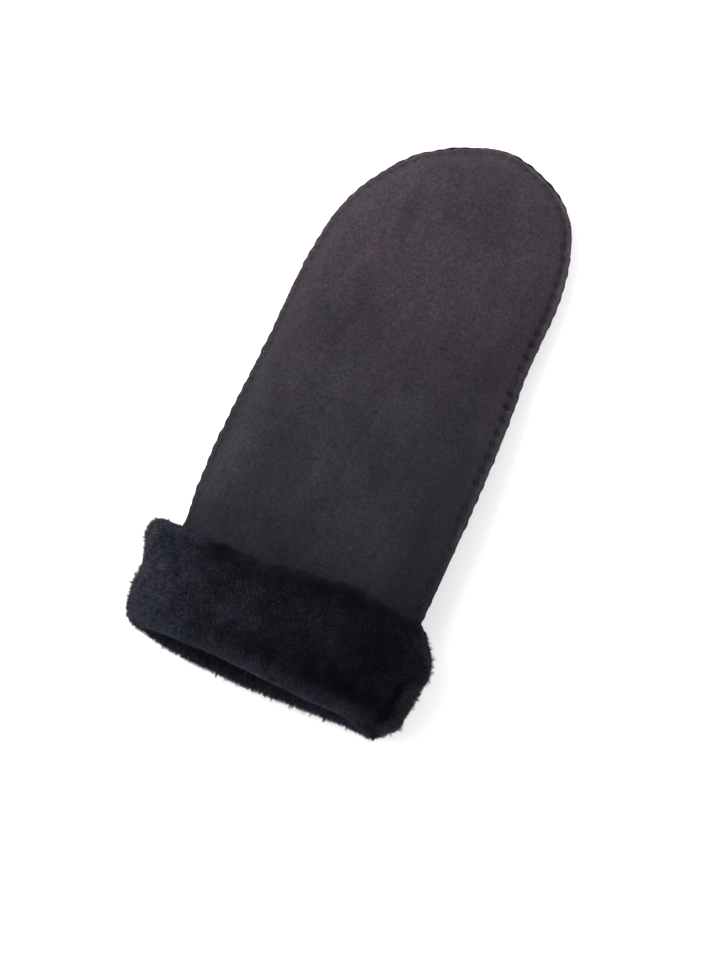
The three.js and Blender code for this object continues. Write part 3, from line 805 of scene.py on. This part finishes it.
# Where the cuff's fold ends and its top edge begins, along.
FOLD_TO_TOP = (8, 54)


def shift_edges(points, along, out):
    """Moves the cuff's top edge and its fold a little, as pile lies after long wear."""
    across = points[..., 0]
    on_back = smoothstep(points[..., 2], CUFF_MID_HEIGHT - 9, CUFF_MID_HEIGHT + 9)
    top, back_fold, palm_fold = (read_column(CUFF_EDGE_SHIFTS, column, across) for column in (1, 2, 3))
    fold = back_fold * on_back + palm_fold * (1 - on_back)
    fold *= np.where(out < HAIRPIN_OUT, 1 - smoothstep(along, 9, BODY_END), 1)
    upwards = smoothstep(along, *FOLD_TO_TOP)
    points[..., 1] += fold * (1 - upwards) + top * upwards


def ring_mesh(profile, shoulder_steps, flat_steps):
    """A closed ring from a closed profile of along and out values."""
    half = np.concatenate([
        np.linspace(start, start + 1, steps, endpoint=False)
        for start, steps in enumerate((shoulder_steps, flat_steps, shoulder_steps))])
    turns = np.concatenate([half, half + 3])
    along, turn = np.meshgrid(profile[:, 0], turns)
    out, _ = np.meshgrid(profile[:, 1], turns)
    index = np.arange(along.size).reshape(along.shape)
    faces = grid_faces(np.pad(index, (0, 1), mode="wrap"))[:, ::-1]
    return ring_point(along, out, turn), faces, along, out, turn


# The side seam's groove in the pile: how far in from the thumb's end on the back and on the palm, how it
# wanders (size, seed and strength), its width, the band past it, and where along it fades out.
GROOVE_IN_BACK, GROOVE_IN_PALM = 6, 11
GROOVE_WANDER = ((14, 31, -1.8),)
GROOVE_WIDTH, GROOVE_DEPTH = 2.1, 1.1
BAND_PAST_GROOVE = (0.5, 3.0)
GROOVE_FADES = (30, 50)


def groove(points, along):
    """How deep in the side seam's groove a place is, and how far on the band past it, from 0 to 1."""
    on_back = points[..., 2] > CUFF_MID_HEIGHT
    away = read_column(CUFF_REACH, 2, along) - points[..., 0]
    away = away - np.where(on_back, GROOVE_IN_BACK, GROOVE_IN_PALM)
    away += noise_sum(np.stack([along, along * 0], -1), GROOVE_WANDER)
    lower_part = 1 - smoothstep(along, *GROOVE_FADES)
    return bell(away, GROOVE_WIDTH) * lower_part, smoothstep(-away, *BAND_PAST_GROOVE) * lower_part


def coat_profile():
    """The coat's closed profile, seen part first, and how many of its points are seen."""
    turn = (HAIRPIN_ALONG, HAIRPIN_OUT)
    outer = np.vstack([
        profile_arc(CUFF_TOP_ALONG + PILE_PAST_SKIN - TOP_ROUND, PILE_ROOT, TOP_ROUND,
                    CUFF_PILE - PILE_ROOT, 0, 90, 10),
        [(CUFF_CROWN_ALONG, CUFF_PILE)],
        profile_arc(*turn, FOLD_ROUND, CUFF_PILE - HAIRPIN_OUT, 90, 180, 12),
        profile_arc(*turn, FOLD_ROUND, CUFF_INNER_PILE + HAIRPIN_OUT, 180, 270, 8)[1:],
        [(BODY_END, -CUFF_INNER_PILE)],
    ])
    seen = evenly_spaced(outer, round(distances(outer)[-1] / COAT_STEP))
    hidden = np.vstack([
        [(BODY_END, HAIRPIN_OUT - PILE_HAIRPIN)],
        profile_arc(*turn, PILE_HAIRPIN, PILE_HAIRPIN, 270, 90, 6),
        [(30, PILE_ROOT), (45, PILE_ROOT)],
    ])
    return np.vstack([seen, hidden]), len(seen)


def ring_normals(points):
    """Outward directions all over a ring."""
    return unit(np.cross(*(np.roll(points, -1, axis) - np.roll(points, 1, axis) for axis in (0, 1))))


# The coat's lumps, the tufts on its ends, its ragged top edge and the clouds of its nap: size, seed and
# strength of each layer of noise.
COAT_LUMPS = ((24, 41, 1.0), (9, 42, 0.5), (4.2, 43, 0.4))
END_TUFTS = ((4.6, 48, 0.75), (2.6, 49, 0.5))
RAGGED_TOP = ((13, 44, 1.4), (4.5, 50, 0.9))
NAP_CLOUDS = ((30, 45, 0.2), (13, 46, 0.2), (5, 47, 0.14))
# How far out, how far from the middle and how far along the pile's lumps, end tufts and rags fade in.
OUTSIDE_OUT, ENDS_ACROSS, TOP_ALONG = (1, 6), (56, 70), (52, 60)
# How light the nap is in the middle, and what is added: a painted highlight on its fold and on the band
# past the side seam's groove, painted shade in that groove, painted shade for each millimetre across
# towards the thumb's side, and painted shade along its top edge.
MIDDLE_NAP = 0.5
FOLD_HIGHLIGHT, BAND_HIGHLIGHT, GROOVE_SHADE = 0.24, 0.42, -0.4
THUMB_SIDE_SHADE_SLOPE = -0.0028
TOP_EDGE_SHADE = -0.34
NAP_LIMITS = (0.02, 1.2)


def fleece_coat():
    """The coat's body under the strands, with its nap value from 0, dark, upwards, painted highlights and
    shade included.
    """
    profile, seen_count = coat_profile()
    points, faces, along, out, turn = ring_mesh(profile, 52, 64)
    is_seen = np.broadcast_to(np.arange(len(profile)) < seen_count, along.shape)
    outside = smoothstep(out, *OUTSIDE_OUT)
    deep, band = groove(points, along)

    # Lumps, the seam's groove and the two ends' own outline.
    push = -TUFT_STAND + noise_sum(points, COAT_LUMPS) * (0.35 + 0.65 * outside)
    push -= GROOVE_DEPTH * deep * outside
    at_end = smoothstep(np.abs(points[:, :, 0]), *ENDS_ACROSS) * outside
    ends = [read_column(CUFF_ENDS, column, along) for column in (1, 2)]
    push += at_end * (np.where(points[:, :, 0] < 0, *ends) + noise_sum(points, END_TUFTS))
    push = np.where(is_seen, push, 0)
    points = points + ring_normals(points) * push[:, :, None]
    ragged = noise_sum(np.stack([points[:, :, 0], turn * 9], -1), RAGGED_TOP)
    points[:, :, 1] += np.where(is_seen, smoothstep(along, *TOP_ALONG) * ragged, 0)
    points[:, :, 2] = np.maximum(points[:, :, 2], PILE_FLOOR)

    # The nap: clouds of its own tone, a painted highlight on the fold and band, painted shade in the
    # groove, towards the thumb's side and along the top edge, and the patches of the back, partly painted
    # light and shade.
    upper = outside * (points[:, :, 2] > CUFF_MID_HEIGHT)
    nap = MIDDLE_NAP + noise_sum(points, NAP_CLOUDS)
    # Painted highlight on the fold and band, painted shade in the groove.
    nap += (FOLD_HIGHLIGHT * bell(along - 6.5, 3.5) + BAND_HIGHLIGHT * band + GROOVE_SHADE * deep) * outside
    # Painted shade, darker towards the thumb's side.
    nap += THUMB_SIDE_SHADE_SLOPE * points[:, :, 0] * upper
    # Painted shade along the top edge, except at the little finger's end.
    nap += TOP_EDGE_SHADE * smoothstep(along, 49, 57) * smoothstep(points[:, :, 0], -62, -35) * upper
    # The back's patches, partly painted light and shade.
    nap += patch_sum(NAP_LIGHT_AND_SHADE_PATCHES, points[:, :, 0], along) * upper
    shift_edges(points, along, out)
    return points, faces, out, is_seen, np.clip(nap, *NAP_LIMITS)


def sample_surface(points, triangles, count, rng):
    """Random places all over the triangles: the triangle and the three corner shares of each."""
    a, b, c = (points[triangles[:, k]] for k in range(3))
    reached = np.cumsum(np.linalg.norm(np.cross(b - a, c - a), axis=1))
    picked = np.searchsorted(reached, (np.arange(count) + rng.random(count)) / count * reached[-1])
    u, v = rng.random(count), rng.random(count)
    flip = u + v > 1
    u[flip], v[flip] = 1 - u[flip], 1 - v[flip]
    return np.minimum(picked, len(triangles) - 1), np.stack([1 - u - v, u, v], axis=1)


def vertex_normals(points, triangles):
    a, b, c = (points[triangles[:, k]] for k in range(3))
    face = np.cross(b - a, c - a)
    total = np.zeros_like(points)
    for k in range(3):
        np.add.at(total, triangles[:, k], face)
    return unit(total)


# The strands, in millimetres. They gather in clumps, and some clumps stray at the cuff's ends and below.
# They lean with the nap, broadly and tuft by tuft: size, seed, strength and drift.
STRAND_LENGTH = 2.5
STRAND_WIDTH = 0.18
STRAND_ROOT = 1.0
STRAND_FLOOR = 0.1
STRANDS_IN_CLUMP = 10
STRAY_CLUMPS = 0.07
STRAYS_ACROSS, STRAYS_BELOW = (60, 70), 16
STRAND_LEANS = ((22, 51, 0.42, (0, -0.25, -0.3)), (5, 54, 0.3, (0, 0, 0)))
LEAN_SPREAD, LENGTH_SPREAD = 0.16, 0.13
STRAND_SIDES = (0, 2 * math.pi / 3, 4 * math.pi / 3)
STRAND_FACES = ((0, 1, 3), (1, 2, 3), (2, 0, 3), (2, 1, 0))
STRAND_MAP_MARGIN = 0.07


def strand_tips(root, normal, shade, rng):
    """Where each strand's tip lies, leaning with the nap and drawn to its clump, and its shade."""
    count = len(root)
    lean = sum(
        (np.stack([smooth_noise(root, size, seed + k) for k in range(3)], axis=1) + drift) * strength
        for size, seed, strength, drift in STRAND_LEANS)
    lean += rng.normal(0, LEAN_SPREAD, (count, 3))
    heading = unit(normal + lean - normal * np.sum(lean * normal, axis=1, keepdims=True))
    at_edge = np.maximum(smoothstep(np.abs(root[:, 0]), *STRAYS_ACROSS), root[:, 2] < STRAYS_BELOW)
    uneven = (0.2 + 0.2 * at_edge) * smooth_noise(root, 3.2, 57) + rng.normal(0, LENGTH_SPREAD, count)
    tip = root + heading * np.maximum(STRAND_LENGTH * (1 + uneven), 0.4)[:, None]

    clumps = max(1, count // STRANDS_IN_CLUMP)
    centres = root[rng.permutation(count)[:clumps]]
    tree = KDTree(clumps)
    for k, centre in enumerate(centres):
        tree.insert(centre, k)
    tree.balance()
    nearest = np.array([tree.find(place)[1] for place in root])
    stray = at_edge * (rng.random(clumps) < STRAY_CLUMPS)[nearest]
    pull = centres[nearest] + heading * (STRAND_LENGTH * (1 + 0.7 * stray))[:, None] - tip
    tip += pull * (0.5 + 0.15 * at_edge + 0.25 * stray)[:, None]
    tip[:, 2] = np.maximum(tip[:, 2], STRAND_FLOOR)
    return tip, shade * (0.5 + rng.random(clumps)[nearest])


def strand_piece(name, points, normals, nap, triangles, count, seed):
    """Many single strands, each a thin closed spike that leans with the nap and gathers in clumps."""
    rng = np.random.default_rng(seed)
    picked, share = sample_surface(points, triangles, count, rng)
    corners = triangles[picked]
    root = np.einsum("ij,ijk->ik", share, points[corners])
    normal = unit(np.einsum("ij,ijk->ik", share, normals[corners]))
    tip, shade = strand_tips(root, normal, np.einsum("ij,ij->i", share, nap[corners]), rng)

    foot = root - normal * STRAND_ROOT
    side = unit(np.cross(normal, rng.normal(0, 1, (count, 3))))
    other = np.cross(normal, side)
    thick = STRAND_WIDTH * (0.8 + 0.4 * rng.random(count))[:, None]
    ring = [foot + (side * math.cos(t) + other * math.sin(t)) * thick for t in STRAND_SIDES]
    vertices = np.stack([*ring, tip], axis=1)
    vertices[:, :, 2] = np.maximum(vertices[:, :, 2], STRAND_FLOOR)

    order = np.lexsort((root[:, 0], np.floor(root[:, 1] / 1.5), root[:, 2] > CUFF_MID_HEIGHT))
    faces = np.arange(count)[:, None, None] * 4 + STRAND_FACES
    piece = link_mesh(name, vertices[order].reshape(-1, 3), faces.reshape(-1, 3).tolist())
    # The coat's nap value, with its painted highlights and shade, shared out by clump.
    store_values(piece.data, "nap", np.repeat(shade[order], 4))
    store_values(piece.data, "height", np.tile([0.0, 0.0, 0.0, 1.0], count))
    store_values(piece.data, "strand", np.repeat(rng.random(count)[order], 4))
    add_strand_map(piece.data, count)
    return seat(piece, "wool", WOOL)


def add_strand_map(mesh, count):
    """Lays each strand's four faces side by side in a small cell of its own."""
    across = math.ceil(math.sqrt(count))
    cell = np.array([
        (0, 0), (0.4, 0), (0.2, 1), (0.2, 1), (0.6, 1), (0.4, 0),
        (0.4, 0), (0.8, 0), (0.6, 1), (0.6, 1), (1, 1), (0.8, 0),
    ]) * (1 - 2 * STRAND_MAP_MARGIN) + STRAND_MAP_MARGIN
    k = np.arange(count)
    corner = np.stack([k % across, k // across], axis=1)[:, None, :]
    places = ((corner + cell[None]) / across).astype(np.float32)
    mesh.uv_layers.new(name="OFBake").data.foreach_set("uv", places.ravel())


# Finishes.
def new_finish(name, **settings):
    """A material, its node tree and its shader, with the shader's plain settings."""
    finish = bpy.data.materials.new(name)
    finish.use_nodes = True
    shader = finish.node_tree.nodes["Principled BSDF"]
    for key, value in settings.items():
        shader.inputs[key.replace("_", " ")].default_value = value
    return finish, finish.node_tree, shader


def add_node(tree, kind, inputs, **settings):
    made = tree.nodes.new(kind)
    for key, value in settings.items():
        setattr(made, key, value)
    for socket, value in inputs.items():
        if isinstance(value, bpy.types.NodeSocket):
            tree.links.new(value, made.inputs[socket])
        else:
            made.inputs[socket].default_value = value
    return made


def object_place(tree):
    return add_node(tree, "ShaderNodeTexCoord", {}).outputs["Object"]


def stored_value(tree, name):
    return add_node(tree, "ShaderNodeAttribute", {}, attribute_name=name).outputs["Fac"]


def noise_value(tree, vector, scale, detail=2.0, rough=0.5, distortion=0.0):
    return add_node(tree, "ShaderNodeTexNoise", {
        "Vector": vector, "Scale": scale, "Detail": detail, "Roughness": rough, "Distortion": distortion,
    }).outputs["Fac"]


def remap(tree, value, to_low, to_high, low=0.0, high=1.0):
    return add_node(tree, "ShaderNodeMapRange", {
        "Value": value, "From Min": low, "From Max": high, "To Min": to_low, "To Max": to_high,
    }).outputs["Result"]


def varied(tree, noise, low, high):
    """The noise's usual range, stretched from the low value to the high one."""
    return remap(tree, noise, low, high, 0.3, 0.7)


def arithmetic(tree, operation, first, second):
    return add_node(tree, "ShaderNodeMath", {0: first, 1: second}, operation=operation).outputs[0]


def product(tree, value, *others):
    for other in others:
        value = arithmetic(tree, "MULTIPLY", value, other)
    return value


def mix_colour(tree, share, first, second, blend="MIX"):
    first, second = ((*c, 1) if isinstance(c, tuple) else c for c in (first, second))
    inputs = {0: share, 6: first, 7: second}
    return add_node(tree, "ShaderNodeMix", inputs, data_type="RGBA", blend_type=blend).outputs[2]


def tinted(tree, colour, share, first, second):
    """The colour times a tint that runs from the first to the second."""
    return mix_colour(tree, 1.0, colour, mix_colour(tree, share, first, second), "MULTIPLY")


def shaded(tree, shader, colour, value):
    """Gives the shader the colour, made lighter or darker by a value."""
    grey = add_node(tree, "ShaderNodeCombineColor", dict.fromkeys(("Red", "Green", "Blue"), value))
    colour = mix_colour(tree, 1.0, colour, grey.outputs["Color"], "MULTIPLY")
    tree.links.new(colour, shader.inputs["Base Color"])


def embossed(tree, shader, height, strength, distance):
    bump = add_node(tree, "ShaderNodeBump", {"Height": height, "Strength": strength, "Distance": distance})
    tree.links.new(bump.outputs["Normal"], shader.inputs["Normal"])


# Dark and light ends of the suede; the mix between them is partly a painted light gradient.
SUEDE_DARK, SUEDE_LIGHT = (0.0105, 0.0102, 0.0135), (0.0345, 0.0268, 0.0335)
SUEDE_NEAR_CUFF, SUEDE_NEAR_TIP = (0.92, 1.0, 1.02), (1.0, 0.99, 1.03)
SUEDE_GREEN, SUEDE_PURPLE = (0.945, 1.035, 0.985), (1.075, 0.965, 1.025)
WOOL_DARK, WOOL_LIGHT = (0.0023, 0.0025, 0.0086), (0.031, 0.033, 0.05)
WOOL_COOL, WOOL_WARM = (0.94, 1.03, 1.03), (1.07, 0.97, 0.97)
WOOL_AT_ENDS = (1.1, 1.0, 0.84)
THREAD_COLOUR = (0.014, 0.013, 0.016)


def suede_finish():
    """Dyed suede with a painted light gradient, lighter towards the fingertips and the little finger's
    side, where its own tone is also more purple, with a brushed nap of clouds and spots.
    """
    finish, tree, shader = new_finish(
        "black_brown_suede", Roughness=0.95, Specular_IOR_Level=0.15, Sheen_Weight=0.12,
        Sheen_Roughness=0.5, Sheen_Tint=(0.5, 0.45, 0.5, 1))
    place = object_place(tree)
    # Painted light gradient mixed with the suede's own tone: lighter and more purple towards the fingertips
    # and the little finger's side.
    slope = add_node(
        tree, "ShaderNodeVectorMath", {0: place, 1: (-0.4, 0.92, 0.0)}, operation="DOT_PRODUCT")
    drift = remap(tree, slope.outputs["Value"], 0.0, 1.0, -0.1, 0.125)
    cloud = noise_value(tree, place, 22, 2.0, 0.5, 0.4)
    tone_and_light = arithmetic(tree, "ADD", drift, varied(tree, cloud, -0.16, 0.16))
    colour = mix_colour(tree, remap(tree, tone_and_light, 0.0, 1.0), SUEDE_DARK, SUEDE_LIGHT)
    upwards = add_node(tree, "ShaderNodeSeparateXYZ", {"Vector": place}).outputs["Y"]
    upwards = remap(tree, upwards, 0.0, 1.0, -0.03, 0.06)
    colour = tinted(tree, colour, upwards, SUEDE_NEAR_CUFF, SUEDE_NEAR_TIP)
    brushed = add_node(tree, "ShaderNodeMapping", {"Vector": place, "Scale": (1.5, 0.6, 1.0)})
    brushed = brushed.outputs["Vector"]
    hues = varied(tree, noise_value(tree, brushed, 78, 3.0, 0.6, 0.3), 0.0, 1.0)
    colour = tinted(tree, colour, hues, SUEDE_GREEN, SUEDE_PURPLE)
    patches = noise_value(tree, brushed, 60, 3.0, 0.55, 0.6)
    spots = noise_value(tree, place, 240, 2.0, 0.5)
    grain = noise_value(tree, place, 620, 2.0, 0.65)
    nap = noise_value(tree, place, 1500, 2.0, 0.6)
    shaded(tree, shader, colour, product(
        tree,
        varied(tree, patches, 0.85, 1.15),
        # The stored nap patches, partly painted light and shade.
        arithmetic(tree, "ADD", stored_value(tree, "nap"), 1.0),
        varied(tree, spots, 0.93, 1.07),
        varied(tree, grain, 0.7, 1.3),
        remap(tree, nap, 0.56, 1.44, 0.25, 0.75),
        # Wear and a painted highlight lighten the raw edges, and painted shade darkens the seams and stitch
        # holes.
        remap(tree, stored_value(tree, "wear_and_edge_highlight"), 1.0, 1.75),
        remap(tree, stored_value(tree, "painted_seam_shade"), 1.0, 0.35)))
    relief = arithmetic(tree, "ADD", product(tree, nap, 0.6), product(tree, spots, 0.5))
    embossed(tree, shader, relief, 0.35, 0.0004)
    return finish


def wool_finish():
    """Clipped wool, dark at its roots, lighter and darker with its stored nap value, which holds painted
    highlights and shade besides the nap's own tone, and greyer at the cuff's ends.
    """
    finish, tree, shader = new_finish(
        "black_wool_pile", Roughness=0.8, Specular_IOR_Level=0.12, Sheen_Weight=0.06,
        Sheen_Roughness=0.4, Sheen_Tint=(0.45, 0.48, 0.6, 1))
    place = object_place(tree)
    # The stored nap value lightens and darkens the wool, painted highlights and shade included.
    colour = mix_colour(tree, stored_value(tree, "nap"), WOOL_DARK, WOOL_LIGHT)
    hues = varied(tree, noise_value(tree, place, 70, 2.0, 0.5, 0.3), 0.0, 1.0)
    colour = tinted(tree, colour, hues, WOOL_COOL, WOOL_WARM)
    across = add_node(tree, "ShaderNodeSeparateXYZ", {"Vector": place}).outputs["X"]
    to_end = remap(tree, arithmetic(tree, "ABSOLUTE", across, 0.0), 0.0, 1.0, 0.060, 0.072)
    colour = tinted(tree, colour, to_end, (1.0, 1.0, 1.0), WOOL_AT_ENDS)
    shaded(tree, shader, colour, product(
        tree,
        remap(tree, stored_value(tree, "height"), 0.2, 1.6),
        remap(tree, stored_value(tree, "strand"), 0.6, 1.4),
        varied(tree, noise_value(tree, place, 700, 2.0, 0.6), 0.8, 1.2)))
    return finish


def thread_finish():
    finish, tree, shader = new_finish("dull_dark_thread", Roughness=0.6, Specular_IOR_Level=0.35)
    twist = noise_value(tree, object_place(tree), 1800, 1.0, 0.5)
    shaded(tree, shader, THREAD_COLOUR, varied(tree, twist, 0.6, 1.4))
    embossed(tree, shader, twist, 0.4, 0.0002)
    return finish


SUEDE = suede_finish()
WOOL = wool_finish()
THREAD = thread_finish()

# The hand's skins and the thumb's two leaves: piece, node, plan, side, seed, height of its waves, whether
# it shows folds, and the width, length and area in metres that it was cut to.
PANEL_ROWS, LEAF_ROWS = 400, 110
leaf_plan = thumb_plan(LEAF_ROWS)
PANELS = [
    ("back_suede", "back_panel", hand_plan(BACK, PANEL_ROWS), BACK, 11, 0.8, True, (0.142, 0.296), 0.0375),
    ("palm_suede", "palm_panel", hand_plan(PALM, PANEL_ROWS), PALM, 21, 0.4, False, (0.140, 0.296), 0.0375),
    ("thumb_outer_suede", "thumb_outer_panel", leaf_plan, PALM, 31, 0.25, False, (0.066, 0.098), 0.0048),
    ("thumb_palm_suede", "thumb_palm_panel", leaf_plan, BACK, 36, 0.15, False, (0.066, 0.098), 0.0048),
]
seams = []
for *cut, flat, area in PANELS:
    suede, seam = suede_panel(*cut)
    seams.append(seam)

# The running stitches.
one_stitch, stitch_faces = stitch_shape()
stitch_row("hand_stitches", one_stitch, stitch_faces, seams[:2])
stitch_row("thumb_stitches", one_stitch, stitch_faces, seams[2:])

# The pile inside the hand and the thumb: piece, plan, side, depth of its pile, its rim, seed, nodes.
LINING_ROWS, LEAF_LINING_ROWS = 90, 40
leaf_lining_plan = thumb_plan(LEAF_LINING_ROWS)
LININGS = [
    ("back_lining_pile", hand_plan(BACK, LINING_ROWS), BACK, LINING_PILE, 9, 61,
     ("back_lining_hand", "back_lining_fingers")),
    ("palm_lining_pile", hand_plan(PALM, LINING_ROWS), PALM, LINING_PILE, 9, 62,
     ("palm_lining_hand", "palm_lining_fingers")),
    ("thumb_outer_lining_pile", leaf_lining_plan, PALM, THUMB_LINING_PILE, 4, 63, ("thumb_outer_lining",)),
    ("thumb_palm_lining_pile", leaf_lining_plan, BACK, THUMB_LINING_PILE, 4, 64, ("thumb_palm_lining",)),
]
for *cut, nodes in LININGS:
    lining = seat(lining_layer(*cut), "wool", WOOL, *nodes)

# The folded skin that carries the cuff's pile.
SKIN_STEPS_ALONG = (48, 36, 24)
skin_profile = np.vstack([
    [(SKIN_TOP_ALONG, SKIN)], [(along, SKIN) for along in SKIN_STEPS_ALONG],
    profile_arc(HAIRPIN_ALONG, HAIRPIN_OUT, HAIRPIN_RADIUS, HAIRPIN_RADIUS, 90, 270, 10),
    [(BODY_END, HAIRPIN_OUT - HAIRPIN_RADIUS), (BODY_END, HAIRPIN_OUT - HAIRPIN_INNER_RADIUS)],
    profile_arc(HAIRPIN_ALONG, HAIRPIN_OUT, HAIRPIN_INNER_RADIUS, HAIRPIN_INNER_RADIUS, 270, 90, 4),
    [(along, 0) for along in SKIN_STEPS_ALONG[::-1]], [(SKIN_TOP_ALONG, 0)],
])
skin_points, skin_faces, skin_along, skin_out, _ = ring_mesh(skin_profile, 20, 16)
shift_edges(skin_points, skin_along, skin_out)
cuff_skin, _ = make_mesh("cuff_skin_fold", skin_points, skin_faces)
seat(cuff_skin, "suede", SUEDE, "cuff_back_skin", "cuff_palm_skin")

# The cuff's coat and its strands.
# The coat's nap carries painted highlights and shade as well as its own tone.
coat_points, coat_faces, coat_out, coat_seen, coat_nap_light_and_shade = fleece_coat()
coat, _ = make_mesh("cuff_fleece_coat", coat_points, coat_faces, nap=coat_nap_light_and_shade * 0.8, height=0.1)
seat(coat, "wool", WOOL, "cuff_back_fleece", "cuff_palm_fleece", "mouth_back_fleece", "mouth_palm_fleece")

flat_points = coat_points.reshape(-1, 3)
triangles = np.vstack([coat_faces[:, [1, 2, 3]], coat_faces[:, [0, 1, 3]]])
normals = vertex_normals(flat_points, triangles)
seen = coat_seen.reshape(-1)[triangles].all(axis=1)
inner = seen & (coat_out.reshape(-1)[triangles].mean(axis=1) < HAIRPIN_OUT - 2.5)
outer = seen & ~inner
middle = flat_points[triangles].mean(axis=1)
upper = middle[:, 2] > CUFF_MID_HEIGHT
left_half = middle[:, 0] < 2
# piece, where it grows, how many strands, seed
STRANDS = [
    ("cuff_back_strands_left", outer & upper & left_half, 47000, 71),
    ("cuff_back_strands_right", outer & upper & ~left_half, 47000, 72),
    ("cuff_palm_strands", outer & ~upper, 42000, 73),
    ("mouth_strands", inner, 16000, 74),
]
for name, chosen, count, seed in STRANDS:
    strand_piece(name, flat_points, normals, coat_nap_light_and_shade.reshape(-1), triangles[chosen], count, seed)

# The floor, the lights and the camera, in metres.
bpy.ops.mesh.primitive_plane_add(size=8, location=(0, 0, -0.0002))
floor = bpy.context.object
floor.name = "floor"
floor.data.materials.append(new_finish(
    "pale_floor", Base_Color=(0.86, 0.86, 0.86, 1), Emission_Color=(1, 1, 1, 1), Emission_Strength=0.35,
    Roughness=1, Specular_IOR_Level=0)[0])

world = bpy.data.worlds.new("soft_white_room")
bpy.context.scene.world = world
world.use_nodes = True
room = world.node_tree.nodes["Background"].inputs
room["Color"].default_value = (1, 1, 1, 1)
room["Strength"].default_value = 0.8


def aim_at(thing, place, aim):
    thing.location = place
    thing.rotation_euler = (Vector(aim) - Vector(place)).to_track_quat("-Z", "Y").to_euler()


# place, size, power
LIGHTS = {"broad_window": ((-0.75, -0.05, 1.0), 1.1, 16), "soft_fill": ((0.3, 1.2, 1.6), 1.6, 8)}
for name, (place, size, power) in LIGHTS.items():
    lamp = bpy.data.lights.new(name, "AREA")
    lamp.shape = "SQUARE"
    lamp.size = size
    lamp.energy = power
    aim_at(link_piece(name, lamp), place, (0, 0, 0))

camera = link_piece("camera", bpy.data.cameras.new("camera"))
camera.data.sensor_width = 36
camera.data.lens = 114.8
aim_at(camera, (0.1142, -0.2739, 1.5022), (0.0083, -0.0359, 0.025))
bpy.context.scene.camera = camera
bpy.context.scene.view_settings.view_transform = "Standard"
